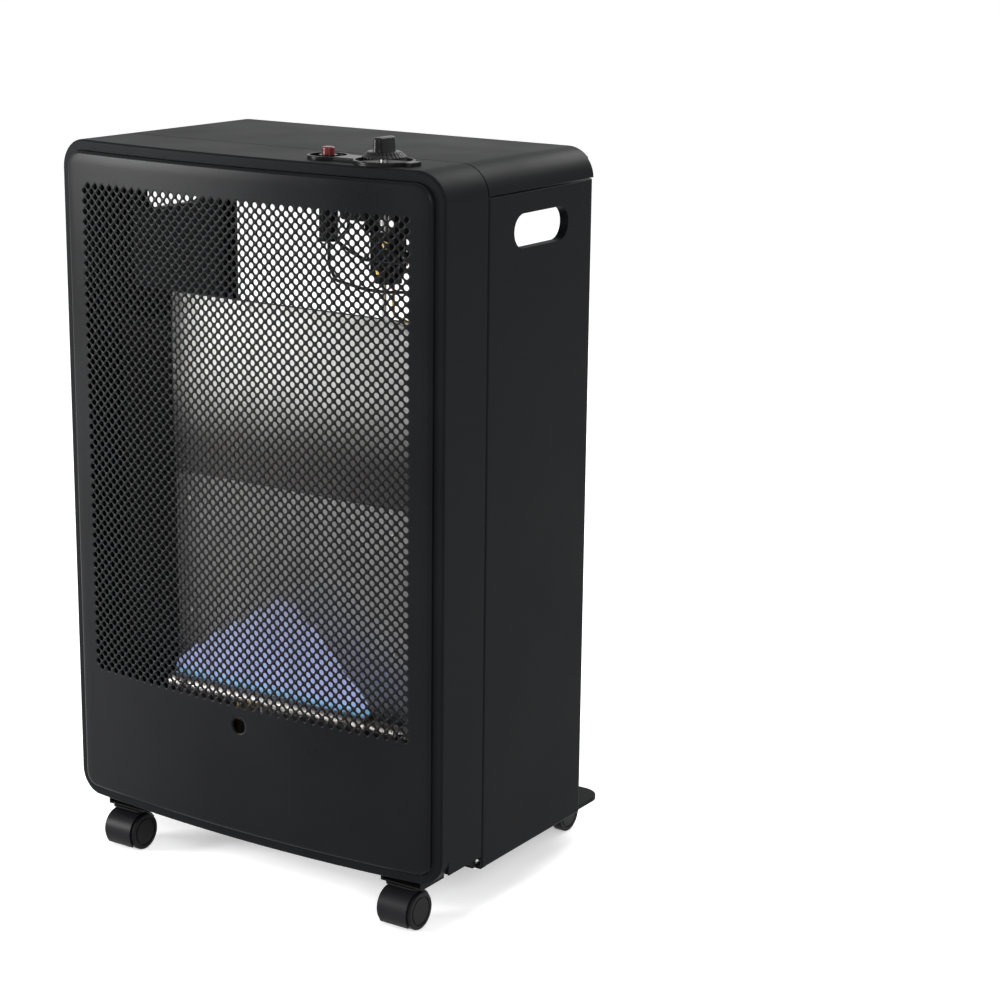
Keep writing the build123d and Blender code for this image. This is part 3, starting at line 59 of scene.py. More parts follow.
# ------------------------------------------------------------------ sizes of the perforated cover
FRAME_INSET = 9.7 * MM
TOP_RADIUS = 28 * MM - FRAME_INSET
FOOT_RADIUS = 24 * MM - FRAME_INSET
RISE = 4.5 * MM
EDGE = 4 * MM
SKIRT = 4 * MM
SHEET = 1.2 * MM
PITCH = 9.7 * MM
HOLE = 2.8 * MM
HOLE_SIDES = 12
COLUMNS = 38
ROWS = 49
GRILLE_Z = 422.8 * MM
SIGHT_Z = 169 * MM
SIGHT_RADIUS = 7.5 * MM
SIGHT_SIDES = 28
GRID = 7.5 * MM
ROUND_STEPS = 6
LOOP_STEPS = 8
LONG_SIDE, SHORT_SIDE = 30, 40
FILL_COLUMNS = 27
FILL_ROWS = 90
FILL_CLEAR = 3 * MM
FIELD_MARGIN_X = 5 * MM
FIELD_MARGIN_Z = 4 * MM
SIGHT_RING = 2 * MM
SAME_POINT = 1e-7

# ------------------------------------------------------------------ painted shade on the upper deflector: a dark band at its lower edge and a darkening towards its right end, metres
PAINTED_SHADE_LEVEL = 0.457
PAINTED_SHADE_SLOPE = -0.03
PAINTED_SHADE_SWAY = 0.03
PAINTED_SHADE_BELOW = 0.035
PAINTED_SHADE_ABOVE = 0.05
RIGHT_SHADE_FROM = -0.02
RIGHT_SHADE_TO = 0.16
RIGHT_SHADE_SHARE = 0.55

# ------------------------------------------------------------------ camera, floor and world
WHITE = (1, 1, 1, 1)
WORLD_LIGHT = 0.6
FLOOR_SEEN = 0.42
FLOOR_REACH = 40
CAMERA_PLACE = (1.3634, -1.8221, 0.9432)
CAMERA_TURN = (1.3164, -0.0122, 0.5796)
LENS = 87.46


# ================================================================== materials
# Heights of a finish's grain in metres, its scale per metre and the directions it is drawn out in.
FAINT = 0.00001
FINE = 0.00002
BUMP_STRENGTH = 0.35
ROLLED_GRAIN = 420.0
ROLLED = (1, 1, 0.04)
ALONG_BURNER = (0.05, 1, 1)
CLOUD_SCALE = 9.0
CLOUD_DETAIL = 5.0
ROUGH_SPREAD = 0.05
NOISE_LOW, NOISE_HIGH = 0.3, 0.7


def shader(name):
    """A new material with its tree, its Principled shader and its place in the object's own space."""
    material = bpy.data.materials.new(name)
    material.use_nodes = True
    tree = material.node_tree
    surface = tree.nodes["Principled BSDF"]
    place = tree.nodes.new("ShaderNodeTexCoord").outputs["Object"]
    return material, tree, surface, place


def noise(tree, place, scale, detail=4.0, stretch=None):
    """A noise texture, stretched along an axis where the finish has a direction."""
    if stretch is not None:
        mapping = tree.nodes.new("ShaderNodeMapping")
        mapping.inputs["Scale"].default_value = stretch
        tree.links.new(place, mapping.inputs["Vector"])
        place = mapping.outputs["Vector"]
    texture = tree.nodes.new("ShaderNodeTexNoise")
    texture.inputs["Scale"].default_value = scale
    texture.inputs["Detail"].default_value = detail
    tree.links.new(place, texture.inputs["Vector"])
    return texture.outputs["Fac"]


def spread(tree, value, low, high):
    """A noise value spread over a range."""
    node = tree.nodes.new("ShaderNodeMapRange")
    node.inputs["From Min"].default_value = NOISE_LOW
    node.inputs["From Max"].default_value = NOISE_HIGH
    node.inputs["To Min"].default_value = low
    node.inputs["To Max"].default_value = high
    tree.links.new(value, node.inputs["Value"])
    return node.outputs["Result"]


def two_tone(tree, value, dark, light):
    """A colour between dark and light, led by a noise value."""
    ramp = tree.nodes.new("ShaderNodeValToRGB")
    ramp.color_ramp.elements[0].position = NOISE_LOW
    ramp.color_ramp.elements[1].position = NOISE_HIGH
    ramp.color_ramp.elements[0].color = (*dark, 1)
    ramp.color_ramp.elements[1].color = (*light, 1)
    tree.links.new(value, ramp.inputs["Fac"])
    return ramp.outputs["Color"]


def math_node(tree, operation, first, second=None, factor=None):
    """A Math node led by one or two values, with a set factor where it has one."""
    node = tree.nodes.new("ShaderNodeMath")
    node.operation = operation
    tree.links.new(first, node.inputs[0])
    if factor is not None:
        node.inputs[1].default_value = factor
    if second is not None:
        tree.links.new(second, node.inputs[1 if factor is None else 2])
    return node.outputs["Value"]


def relief(tree, surface, value, height):
    """Bumps of a real height in metres."""
    bump = tree.nodes.new("ShaderNodeBump")
    bump.inputs["Distance"].default_value = height
    bump.inputs["Strength"].default_value = BUMP_STRENGTH
    tree.links.new(value, bump.inputs["Height"])
    tree.links.new(bump.outputs["Normal"], surface.inputs["Normal"])


def coat(name, dark, light, rough, grain=1400.0, height=0.00004, metallic=0.0, stretch=None, gloss=0.5):
    """Powder coat, moulded plastic or sheet metal: a fine grain, a slow change of tone and of gloss."""
    material, tree, surface, place = shader(name)
    surface.inputs["Metallic"].default_value = metallic
    surface.inputs["Specular IOR Level"].default_value = gloss
    fine = noise(tree, place, grain, 2.0, stretch)
    slow = noise(tree, place, CLOUD_SCALE, CLOUD_DETAIL)
    tree.links.new(two_tone(tree, slow, dark, light), surface.inputs["Base Color"])
    roughness = spread(tree, slow, rough - ROUGH_SPREAD, rough + ROUGH_SPREAD)
    tree.links.new(roughness, surface.inputs["Roughness"])
    relief(tree, surface, fine, height)
    return material


enamel = coat(
    "satin_black_enamel", (0.0040, 0.0044, 0.0050), (0.0060, 0.0065, 0.0074), 0.48,
    gloss=0.035)
cover_enamel = coat(
    "cover_black_enamel", (0.0028, 0.0030, 0.0036), (0.0044, 0.0047, 0.0055), 0.30,
    gloss=0.07)
dark_sheet = coat(
    "matt_black_sheet", (0.004, 0.004, 0.004), (0.007, 0.007, 0.007), 0.6,
    gloss=0.08)
bright_sheet = coat(
    "rolled_steel", (0.70, 0.69, 0.67), (0.84, 0.83, 0.81), 0.42,
    grain=ROLLED_GRAIN, height=FINE, metallic=1.0, stretch=ROLLED)
# A darker copy of the rolled steel for the lower reflector: painted shade.
shaded_reflector_sheet = coat(
    "shaded_rolled_steel", (0.19, 0.186, 0.182), (0.27, 0.266, 0.262), 0.42,
    grain=ROLLED_GRAIN, height=FINE, metallic=1.0, stretch=ROLLED)
burner_steel = coat(
    "heat_tinted_steel", (0.30, 0.27, 0.24), (0.55, 0.52, 0.50), 0.38,
    grain=500.0, height=FINE, metallic=1.0, stretch=ALONG_BURNER)
zinc = coat(
    "zinc_plate", (0.42, 0.42, 0.40), (0.62, 0.62, 0.58), 0.38,
    grain=900.0, height=FINE, metallic=1.0)
brass = coat(
    "turned_brass", (0.55, 0.38, 0.13), (0.74, 0.54, 0.22), 0.3,
    grain=1200.0, height=FAINT, metallic=1.0)
aluminium = coat(
    "drawn_aluminium", (0.55, 0.55, 0.56), (0.72, 0.72, 0.73), 0.34,
    grain=900.0, height=FAINT, metallic=1.0)
black_plastic = coat(
    "black_plastic", (0.004, 0.004, 0.004), (0.006, 0.006, 0.006), 0.28,
    grain=1800.0, height=FINE, gloss=0.1)
grey_plastic = coat(
    "caster_plastic", (0.005, 0.005, 0.006), (0.008, 0.008, 0.009), 0.40,
    grain=1300.0, height=0.00003, gloss=0.08)
red_plastic = coat(
    "red_button", (0.085, 0.006, 0.006), (0.12, 0.009, 0.008), 0.28,
    grain=1800.0, height=FAINT, gloss=0.3)
ceramic = coat(
    "white_ceramic", (0.72, 0.70, 0.65), (0.82, 0.80, 0.76), 0.22,
    grain=900.0, height=FAINT)
red_cover = coat(
    "red_insulation", (0.40, 0.02, 0.015), (0.50, 0.03, 0.02), 0.42,
    grain=1500.0, height=FINE)
black_cover = coat(
    "black_insulation", (0.006, 0.006, 0.006), (0.010, 0.010, 0.010), 0.42,
    grain=1500.0, height=FINE, gloss=0.25)


def deflector_painted_shade_finish():
    """Rolled steel with painted shade: darkened towards its lower edge, most on the left, and towards its
    right end.
    """
    material, tree, surface, place = shader("deflector_painted_shade")
    surface.inputs["Metallic"].default_value = 1.0
    surface.inputs["Roughness"].default_value = 0.42
    parts = tree.nodes.new("ShaderNodeSeparateXYZ")
    tree.links.new(place, parts.inputs["Vector"])
    slope = math_node(tree, "MULTIPLY_ADD", parts.outputs["X"], parts.outputs["Z"], PAINTED_SHADE_SLOPE)
    # Noise that makes the edge of the painted shade band wobble.
    shade_wobble = noise(tree, place, 14.0, 5.0)
    sway = math_node(tree, "MULTIPLY_ADD", shade_wobble, slope, PAINTED_SHADE_SWAY)
    level = tree.nodes.new("ShaderNodeMapRange")
    level.interpolation_type = "SMOOTHSTEP"
    level.inputs["From Min"].default_value = PAINTED_SHADE_LEVEL - PAINTED_SHADE_BELOW
    level.inputs["From Max"].default_value = PAINTED_SHADE_LEVEL + PAINTED_SHADE_ABOVE
    tree.links.new(sway, level.inputs["Value"])
    # Dark end of the ramp: painted shade at the deflector's lower edge; light end: the steel's own tone.
    ramp = tree.nodes.new("ShaderNodeValToRGB")
    ramp.color_ramp.elements[0].color = (0.105, 0.10, 0.096, 1)
    ramp.color_ramp.elements[1].color = (0.60, 0.593, 0.58, 1)
    tree.links.new(level.outputs["Result"], ramp.inputs["Fac"])
    # Painted shade, growing towards the deflector's right end.
    right_shade = tree.nodes.new("ShaderNodeMapRange")
    right_shade.interpolation_type = "SMOOTHSTEP"
    right_shade.inputs["From Min"].default_value = RIGHT_SHADE_FROM
    right_shade.inputs["From Max"].default_value = RIGHT_SHADE_TO
    right_shade.inputs["To Min"].default_value = 1.0
    right_shade.inputs["To Max"].default_value = RIGHT_SHADE_SHARE
    tree.links.new(parts.outputs["X"], right_shade.inputs["Value"])
    shade = tree.nodes.new("ShaderNodeVectorMath")
    shade.operation = "SCALE"
    tree.links.new(ramp.outputs["Color"], shade.inputs[0])
    tree.links.new(right_shade.outputs["Result"], shade.inputs["Scale"])
    tree.links.new(shade.outputs["Vector"], surface.inputs["Base Color"])
    relief(tree, surface, noise(tree, place, ROLLED_GRAIN, 2.0, ROLLED), FINE)
    return material


SLOT_FINISH = {
    "black_enamel": enamel,
    "bright_sheet": bright_sheet,
    "dark_sheet": dark_sheet,
    "zinc": zinc,
    "brass": brass,
    "aluminium_tube": aluminium,
    "black_plastic": black_plastic,
    "grey_plastic": grey_plastic,
    "red_plastic": red_plastic,
    "white_ceramic": ceramic,
    "red_cover": red_cover,
    "black_cover": black_cover,
}
NODE_FINISH = {
    "burner_tube": burner_steel,
    "mixing_tube": burner_steel,
    # The upper deflector carries painted shade.
    "upper_deflector": deflector_painted_shade_finish(),
    # The lower reflector takes the darker copy of the steel, which is painted shade.
    "lower_reflector": shaded_reflector_sheet,
}
for part in frame["record"]["subparts"]:
    finish = NODE_FINISH.get(part["node"], SLOT_FINISH[part["material_slot"]])
    mesh = nodes[part["node"]].data
    mesh.materials.clear()
    mesh.materials.append(finish)


# ================================================================== mesh helpers
def piece(name, points, faces, material, body, smooth_angle=40):
    """A mesh piece in the frame's own space that rides on a body."""
    mesh = bpy.data.meshes.new(name)
    mesh.from_pydata(points, [], faces)
    mesh.update()
    mesh.materials.append(material)
    made = bpy.data.objects.new(name, mesh)
    bpy.context.scene.collection.objects.link(made)
    for polygon in mesh.polygons:
        polygon.use_smooth = True
    mesh.set_sharp_from_angle(angle=math.radians(smooth_angle))
    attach(made, body)
    return made


def bow_y(x, forward):
    """The cover's place along Y at x, moved forward."""
    radius = BOW_RADIUS + forward
    return BOW_FRONT + BOW_RADIUS - math.sqrt(radius ** 2 - x ** 2)


# ================================================================== perforated front cover
def rounded_loop(inset):
    """The cover's outline drawn in by inset, with the same number of points at every inset."""
    side = HALF - FRAME_INSET - inset
    top = TOP - FRAME_INSET - inset
    low = FOOT + FRAME_INSET + inset
    upper = TOP_RADIUS - inset
    lower = FOOT_RADIUS - inset
    corners = [
        (side - upper, top - upper, upper, 0),
        (-side + upper, top - upper, upper, 90),
        (-side + lower, low + lower, lower, 180),
        (side - lower, low + lower, lower, 270),
    ]
    loop = []
    for number, (cx, cz, radius, start) in enumerate(corners):
        for step in range(LOOP_STEPS + 1):
            angle = math.radians(start + 90 * step / LOOP_STEPS)
            loop.append((cx + radius * math.cos(angle), cz + radius * math.sin(angle)))
        ax, az = loop[-1]
        bx, bz, next_radius, next_start = corners[(number + 1) % 4]
        turn = math.radians(next_start)
        bx += next_radius * math.cos(turn)
        bz += next_radius * math.sin(turn)
        count = SHORT_SIDE if number % 2 == 0 else LONG_SIDE
        for step in range(1, count):
            share = step / count
            loop.append((ax + (bx - ax) * share, az + (bz - az) * share))
    return loop


def inside_loop(x, z, loop):
    """Whether a point lies inside a closed outline."""
    inside = False
    for (ax, az), (bx, bz) in zip(loop, loop[1:] + loop[:1]):
        if (az > z) != (bz > z) and x < (bx - ax) * (z - az) / (bz - az) + ax:
            inside = not inside
    return inside


def cover_mesh():
    """The bowed front sheet: perforated field, plain border, sight hole and raised edge."""
    points = []
    faces = []
    index = {}

    def point(x, z, forward):
        """The number of the point at x and z on the bowed face, made once."""
        key = (round(x * 1e6), round(z * 1e6), round(forward * 1e6))
        if key not in index:
            index[key] = len(points)
            points.append((x, bow_y(x, forward), z))
        return index[key]

    def add(*corners):
        """A face without doubled corners."""
        face = []
        for corner in corners:
            if corner not in face:
                face.append(corner)
        if len(face) > 2:
            faces.append(face)

    # The holes stand in two square lattices, the second moved by half a pitch both ways.
    left = -COLUMNS / 2 * PITCH + PITCH / 2 + PITCH / 4
    bottom = GRILLE_Z - (ROWS - 1) / 2 * PITCH
    half = PITCH / 2
    centres = []
    for row in range(ROWS):
        for column in range(COLUMNS):
            centres.append((left + column * PITCH, bottom + row * PITCH))
    for row in range(ROWS - 1):
        for column in range(COLUMNS):
            centres.append((left - half + column * PITCH, bottom + half + row * PITCH))
    per_side = HOLE_SIDES // 4
    hole_points = set()
    for cx, cz in centres:
        rim = []
        hole = []
        for step in range(HOLE_SIDES):
            side, part = divmod(step, per_side)
            share = part / per_side
            start = math.radians(90 * side)
            stop = math.radians(90 * side + 90)
            x = half * ((1 - share) * math.cos(start) + share * math.cos(stop))
            z = half * ((1 - share) * math.sin(start) + share * math.sin(stop))
            rim.append(point(cx + x, cz + z, RISE))
            angle = math.atan2(z, x)
            hole.append(point(cx + HOLE * math.cos(angle), cz + HOLE * math.sin(angle), RISE))
        for step in range(HOLE_SIDES):
            after = (step + 1) % HOLE_SIDES
            add(rim[step], rim[after], hole[after], hole[step])
        hole_points.update(hole)

    # The field's stepped edge, as the diamonds' own corners.
    edges = {}
    for face in faces:
        for a, b in zip(face, face[1:] + face[:1]):
            key = (min(a, b), max(a, b))
            edges[key] = edges.get(key, 0) + 1
    field_edges = [key for key, used in edges.items() if used == 1 and key[0] not in hole_points]

    # The raised edge: a quarter round from the skirt to the face.
    steps = [(0.0, -SKIRT), (0.0, RISE - EDGE)]
    for number in range(1, ROUND_STEPS + 1):
        turn = math.radians(90 * number / ROUND_STEPS)
        steps.append((EDGE * (1 - math.cos(turn)), RISE - EDGE + EDGE * math.sin(turn)))
    rings = []
    for inset, forward in steps:
        rings.append([point(x, z, forward) for x, z in rounded_loop(inset)])
    for outer, inner in zip(rings, rings[1:]):
        for number in range(len(outer)):
            after = (number + 1) % len(outer)
            add(outer[number], outer[after], inner[after], inner[number])

    # The plain border between the raised edge and the field, with the sight hole.
    border = rings[-1]
    sight = []
    for step in range(SIGHT_SIDES):
        angle = 2 * math.pi * step / SIGHT_SIDES
        sight.append(point(SIGHT_RADIUS * math.cos(angle), SIGHT_Z + SIGHT_RADIUS * math.sin(angle), RISE))
    flat_loop = rounded_loop(EDGE)
    used = sorted(set(border) | set(sight) | {end for key in field_edges for end in key})
    local = {number: place for place, number in enumerate(used)}
    flat = [(points[number][0], points[number][2]) for number in used]
    links = [(local[border[i]], local[border[(i + 1) % len(border)]]) for i in range(len(border))]
    links += [(local[sight[i]], local[sight[(i + 1) % len(sight)]]) for i in range(len(sight))]
    links += [(local[a], local[b]) for a, b in field_edges]
    extra = []
    clear = rounded_loop(EDGE + FILL_CLEAR)
    field_half = COLUMNS / 2 * PITCH + FIELD_MARGIN_X
    field_rise = ROWS / 2 * PITCH + FIELD_MARGIN_Z
    for column in range(-FILL_COLUMNS, FILL_COLUMNS + 1):
        for row in range(FILL_ROWS):
            x = column * GRID
            z = FOOT + row * GRID
            in_field = abs(x) < field_half and abs(z - GRILLE_Z) < field_rise
            near_sight = math.hypot(x, z - SIGHT_Z) < SIGHT_RADIUS + FILL_CLEAR
            if not in_field and not near_sight and inside_loop(x, z, clear):
                extra.append((x, z))
    for step in range(SIGHT_SIDES):
        angle = 2 * math.pi * (step + 0.5) / SIGHT_SIDES
        reach = SIGHT_RADIUS + SIGHT_RING
        extra.append((reach * math.cos(angle), SIGHT_Z + reach * math.sin(angle)))
    answer = delaunay_2d_cdt([Vector(p) for p in flat + extra], links, [], 0, SAME_POINT)
    out_points, _, out_faces, origin, _, _ = answer
    numbers = []
    for number, place in enumerate(out_points):
        source = origin[number][0] if origin[number] else -1
        numbers.append(used[source] if 0 <= source < len(used) else point(place.x, place.y, RISE))

    # Triangles inside the sight hole, the perforated field or the raised edge are left out.
    field = set()
    for cx, cz in centres:
        field.add((round((cx - left) / half), round((cz - bottom) / half)))
    for face in out_faces:
        x = sum(out_points[i].x for i in face) / len(face)
        z = sum(out_points[i].y for i in face) / len(face)
        if math.hypot(x, z - SIGHT_Z) < SIGHT_RADIUS:
            continue
        across = (x - left) / half
        up = (z - bottom) / half
        first = math.floor((across + up) / 2 + 0.5)
        second = math.floor((across - up) / 2 + 0.5)
        if (first + second, first - second) in field:
            continue
        if not inside_loop(x, z, flat_loop):
            continue
        add(*[numbers[i] for i in face])
    return points, faces


cover_points, cover_faces = cover_mesh()
cover = piece(
    "perforated_cover", cover_points, cover_faces, cover_enamel, "cabinet",
    smooth_angle=50)
thickness = cover.modifiers.new("sheet", "SOLIDIFY")
thickness.thickness = SHEET
thickness.offset = -1
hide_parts("front_panel")


# ================================================================== control knob
KNOB_LOW, KNOB_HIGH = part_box("control_knob")
KNOB_SKIRT = [
    (19.4, 0.0), (19.4, 0.9), (18.6, 1.5), (17.4, 2.3),
    (16.2, 3.3), (15.2, 4.4), (14.4, 5.0), (12.0, 5.3),
]
RIBBED_FROM, RIBBED_TO = 15, 19
KNOB_RIBS = 30
KNOB_TURNS = 240
BLADE_LENGTH = 13.4
BLADE_HALF = 4.9
BLADE_STEPS = [
    (4.4, 1.06), (5.2, 1.0), (8.0, 0.95), (12.0, 0.90),
    (15.2, 0.86), (16.4, 0.80), (17.1, 0.68), (17.4, 0.5),
]
BLADE_TAPER = 4.0
BLADE_CORNER = 0.92
CORNER_STEPS = 9
FLUTE_DEPTH = 0.9


def blade_loop(length, half, round_to):
    """A long rounded outline, drawn from its four corners."""
    loop = []
    for sx, sy, start in ((1, 1, 0), (-1, 1, 90), (-1, -1, 180), (1, -1, 270)):
        for step in range(CORNER_STEPS):
            angle = math.radians(start + 90 * step / (CORNER_STEPS - 1))
            loop.append((sx * (half - round_to) + round_to * math.cos(angle),
                         sy * (length - round_to) + round_to * math.sin(angle)))
    return loop


def knob_mesh():
    """A ribbed, flared skirt with a blade grip across it."""
    cx = (KNOB_LOW.x + KNOB_HIGH.x) / 2
    cy = (KNOB_LOW.y + KNOB_HIGH.y) / 2
    points = []
    faces = []
    for radius, height in KNOB_SKIRT:
        for turn in range(KNOB_TURNS):
            angle = 2 * math.pi * turn / KNOB_TURNS
            flute = max(0.0, math.cos(KNOB_RIBS * angle)) ** 2
            depth = 0
            if RIBBED_FROM < radius < RIBBED_TO:
                depth = FLUTE_DEPTH * flute
            elif radius > RIBBED_TO:
                depth = FLUTE_DEPTH / 2 * flute
            reach = (radius - depth) * MM
            x = cx + reach * math.cos(angle)
            y = cy + reach * math.sin(angle)
            points.append((x, y, KNOB_LOW.z + height * MM))
    rings = len(KNOB_SKIRT)
    for ring in range(rings - 1):
        for turn in range(KNOB_TURNS):
            after = (turn + 1) % KNOB_TURNS
            a = ring * KNOB_TURNS
            faces.append((a + turn, a + after, a + KNOB_TURNS + after, a + KNOB_TURNS + turn))
    faces.append(tuple((rings - 1) * KNOB_TURNS + turn for turn in range(KNOB_TURNS)))
    faces.append(tuple(turn for turn in reversed(range(KNOB_TURNS))))
    start = len(points)
    count = 4 * CORNER_STEPS
    for height, share in BLADE_STEPS:
        length = BLADE_LENGTH - BLADE_TAPER * (1 - share)
        half = BLADE_HALF * share
        for x, y in blade_loop(length, half, half * BLADE_CORNER):
            points.append((cx + x * MM, cy + y * MM, KNOB_LOW.z + height * MM))
    for ring in range(len(BLADE_STEPS) - 1):
        for step in range(count):
            after = (step + 1) % count
            a = start + ring * count
            faces.append((a + step, a + after, a + count + after, a + count + step))
    last = start + (len(BLADE_STEPS) - 1) * count
    faces.append(tuple(last + step for step in range(count)))
    faces.append(tuple(start + step for step in reversed(range(count))))
    return points, faces


knob_points, knob_faces = knob_mesh()
grip = piece("ribbed_knob", knob_points, knob_faces, black_plastic, "knob", smooth_angle=35)
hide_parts("control_knob")


# ================================================================== brass fittings on the gas valve
VALVE_LOW, VALVE_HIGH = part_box("gas_valve")
NUT_LENGTH = 5 * MM
NUT_SIDES = 6
NUT_SHARE = 0.55
# Name, place right of and above the valve's corner, radius and length.
FITTINGS = (
    ("test_nipple", 14 * MM, 12 * MM, 5.2 * MM, 5.4 * MM),
    ("rate_screw", 19 * MM, 35 * MM, 3.6 * MM, 2.6 * MM),
)


def fitting_mesh(x, z, radius, length):
    """A six-sided nut with a slimmer end on it, facing forward."""
    front = VALVE_LOW.y + NUT_LENGTH
    points = []
    faces = []
    rings = ((radius, 0.0), (radius, NUT_SHARE), (radius * 0.55, NUT_SHARE + 0.01), (radius * 0.5, 1.0))
    for reach, share in rings:
        for step in range(NUT_SIDES):
            angle = 2 * math.pi * step / NUT_SIDES
            points.append((x + reach * math.cos(angle), front - length * share, z + reach * math.sin(angle)))
    for ring in range(len(rings) - 1):
        here = ring * NUT_SIDES
        beyond = here + NUT_SIDES
        for step in range(NUT_SIDES):
            after = (step + 1) % NUT_SIDES
            faces.append((here + step, here + after, beyond + after, beyond + step))
    last = (len(rings) - 1) * NUT_SIDES
    faces.append(tuple(last + step for step in range(NUT_SIDES)))
    faces.append(tuple(step for step in reversed(range(NUT_SIDES))))
    return points, faces


for fitting_name, right, up, radius, length in FITTINGS:
    nut_points, nut_faces = fitting_mesh(VALVE_LOW.x + right, VALVE_LOW.z + up, radius, length)
    piece(fitting_name, nut_points, nut_faces, brass, "cabinet", smooth_angle=30)


# ================================================================== flame
BURNER_LOW, BURNER_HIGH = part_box("burner_tube")
FLAME_HEIGHT = 100 * MM
FLAME_PEAK = 20 * MM
FLAME_COLUMNS = 60
FLAME_ROWS = 16
FLAME_FOOT = 12 * MM
FLAME_THICK = 5 * MM
FLAME_THIN = 0.4 * MM
FLAME_SWAY = 2 * MM
BURNER_END = 4 * MM


def flame_material():
    """A faint glow, blue over the burner and paler upwards, that lets the sheet behind show."""
    material, tree, surface, place = shader("blue_flame")
    surface.inputs["Base Color"].default_value = (0.01, 0.02, 0.1, 1)
    surface.inputs["Roughness"].default_value = 1.0
    separate = tree.nodes.new("ShaderNodeSeparateXYZ")
    tree.links.new(place, separate.inputs["Vector"])
    ramp = tree.nodes.new("ShaderNodeMapRange")
    ramp.inputs["From Min"].default_value = BURNER_HIGH.z
    ramp.inputs["From Max"].default_value = BURNER_HIGH.z + FLAME_HEIGHT
    tree.links.new(separate.outputs["Z"], ramp.inputs["Value"])
    colour = tree.nodes.new("ShaderNodeValToRGB")
    colour.color_ramp.elements[0].color = (0.26, 0.66, 1.0, 1)
    colour.color_ramp.elements[1].color = (0.36, 0.39, 0.64, 1)
    middle = colour.color_ramp.elements.new(0.08)
    middle.color = (0.44, 0.50, 0.88, 1)
    tree.links.new(ramp.outputs["Result"], colour.inputs["Fac"])
    tree.links.new(colour.outputs["Color"], surface.inputs["Emission Color"])
    surface.inputs["Emission Strength"].default_value = 1.5
    wisps = noise(tree, place, 60.0, 3.0, (1, 1, 0.25))
    fade = tree.nodes.new("ShaderNodeMapRange")
    fade.inputs["To Min"].default_value = 0.34
    fade.inputs["To Max"].default_value = 0.14
    tree.links.new(ramp.outputs["Result"], fade.inputs["Value"])
    clear = math_node(tree, "MULTIPLY", fade.outputs["Result"], spread(tree, wisps, 0.6, 1.0))
    tree.links.new(clear, surface.inputs["Alpha"])
    return material


def flame_mesh():
    """Two close leaves of flame that rise to a peak over the burner."""
    low_x = BURNER_LOW.x + BURNER_END
    high_x = BURNER_HIGH.x - BURNER_END
    y = (BURNER_LOW.y + BURNER_HIGH.y) / 2
    points = []
    faces = []
    for front in (1, -1):
        for column in range(FLAME_COLUMNS + 1):
            x = low_x + (high_x - low_x) * column / FLAME_COLUMNS
            if x < FLAME_PEAK:
                share = (x - low_x) / (FLAME_PEAK - low_x)
            else:
                share = (high_x - x) / (high_x - FLAME_PEAK)
            ripple = 1 + 0.05 * math.sin(x * 260) + 0.03 * math.sin(x * 611 + 1)
            height = FLAME_FOOT + (FLAME_HEIGHT - FLAME_FOOT) * max(share, 0) ** 0.9
            height *= ripple
            for row in range(FLAME_ROWS + 1):
                up = row / FLAME_ROWS
                swell = (1 - up) ** 0.7 * math.sin(math.pi * min(1, 0.35 + up))
                thick = FLAME_THICK * swell + FLAME_THIN
                sway = FLAME_SWAY * math.sin(x * 90 + up * 3) * up
                points.append((x, y - front * thick + sway, BURNER_HIGH.z - 1 * MM + height * up * 0.99))
    stride = (FLAME_COLUMNS + 1) * (FLAME_ROWS + 1)
    for layer in range(2):
        for column in range(FLAME_COLUMNS):
            for row in range(FLAME_ROWS):
                a = layer * stride + column * (FLAME_ROWS + 1) + row
                b = a + FLAME_ROWS + 1
                quad = (a, b, b + 1, a + 1)
                faces.append(quad if layer == 0 else quad[::-1])
    return points, faces


flame_points, flame_faces = flame_mesh()
piece("burner_flame", flame_points, flame_faces, flame_material(), "cabinet")


# ================================================================== camera, floor and light
def area_light(name, place, target, size, power):
    """A square soft lamp that looks at a target."""
    light = bpy.data.lights.new(name, "AREA")
    light.shape = "SQUARE"
    light.size = size
    light.energy = power
    made = bpy.data.objects.new(name, light)
    made.location = place
    made.rotation_euler = (Vector(target) - Vector(place)).to_track_quat("-Z", "Y").to_euler()
    bpy.context.scene.collection.objects.link(made)


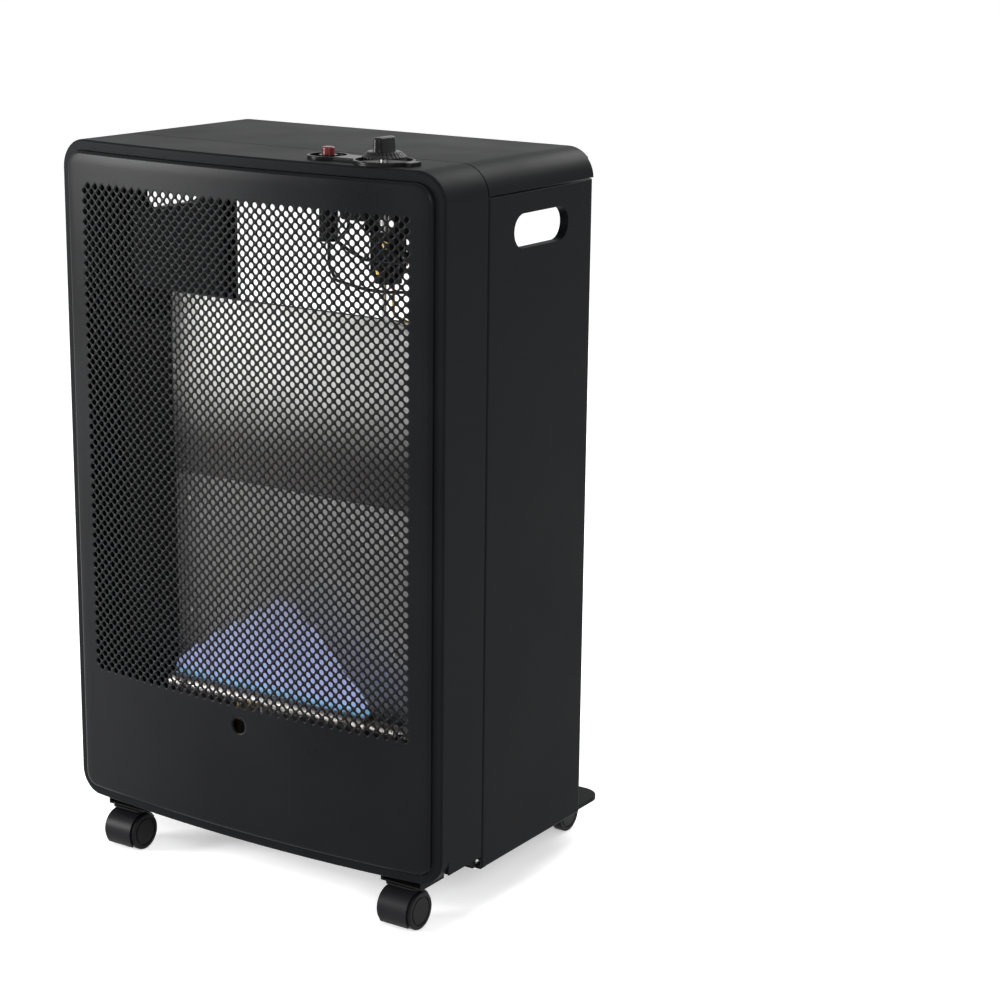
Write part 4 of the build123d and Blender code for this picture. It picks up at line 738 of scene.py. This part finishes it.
def seen_directly(tree, others, direct):
    """One strength for rays that light the scene, another for camera, glossy and transmission rays."""
    path = tree.nodes.new("ShaderNodeLightPath")
    total = path.outputs["Is Camera Ray"]
    for kind in ("Is Glossy Ray", "Is Transmission Ray"):
        total = math_node(tree, "MAXIMUM", total, path.outputs[kind])
    strength = tree.nodes.new("ShaderNodeMapRange")
    strength.inputs["To Min"].default_value = others
    strength.inputs["To Max"].default_value = direct
    tree.links.new(total, strength.inputs["Value"])
    return strength.outputs["Result"]


camera_data = bpy.data.cameras.new("camera")
camera_data.lens = LENS
camera_data.sensor_width = 36
camera_data.sensor_fit = "HORIZONTAL"
camera_data.clip_end = 200
camera = bpy.data.objects.new("camera", camera_data)
camera.location = CAMERA_PLACE
camera.rotation_euler = Euler(CAMERA_TURN, "XYZ")
bpy.context.scene.collection.objects.link(camera)
bpy.context.scene.camera = camera

floor_mesh = bpy.data.meshes.new("floor")
floor_corners = [(x * FLOOR_REACH, y * FLOOR_REACH, 0) for x, y in ((-1, -1), (1, -1), (1, 1), (-1, 1))]
floor_mesh.from_pydata(floor_corners, [], [(0, 1, 2, 3)])
floor = bpy.data.objects.new("floor", floor_mesh)
bpy.context.scene.collection.objects.link(floor)
floor_finish = coat("pale_floor", (0.90, 0.90, 0.90), (0.93, 0.93, 0.93), 0.7, 300.0, FINE, gloss=0.2)
floor_surface = floor_finish.node_tree.nodes["Principled BSDF"]
floor_surface.inputs["Emission Color"].default_value = WHITE
floor_tree = floor_finish.node_tree
floor_tree.links.new(seen_directly(floor_tree, 0.0, FLOOR_SEEN), floor_surface.inputs["Emission Strength"])
floor_mesh.materials.append(floor_finish)

world = bpy.data.worlds.new("studio")
world.use_nodes = True
world_light = world.node_tree.nodes["Background"]
world_light.inputs["Color"].default_value = WHITE
world.node_tree.links.new(seen_directly(world.node_tree, WORLD_LIGHT, 1.0), world_light.inputs["Strength"])
bpy.context.scene.world = world
area_light("key", (-2.33, -2.1, 0.95), (0, 0, 0.6), 1.1, 120)
area_light("front_fill", (1.9, -1.6, 1.4), (0, 0, 0.4), 0.7, 25)
area_light("overhead", (0.2, 0.6, 2.8), (0, 0, 0.3), 2.0, 17)
area_light("rear_fill", (0.3, 2.6, 2.2), (0, 0, 0.4), 1.4, 45)

scene = bpy.context.scene
scene.view_settings.view_transform = "Standard"
scene.view_settings.look = "None"
scene.view_settings.exposure = 0
scene.view_settings.gamma = 1
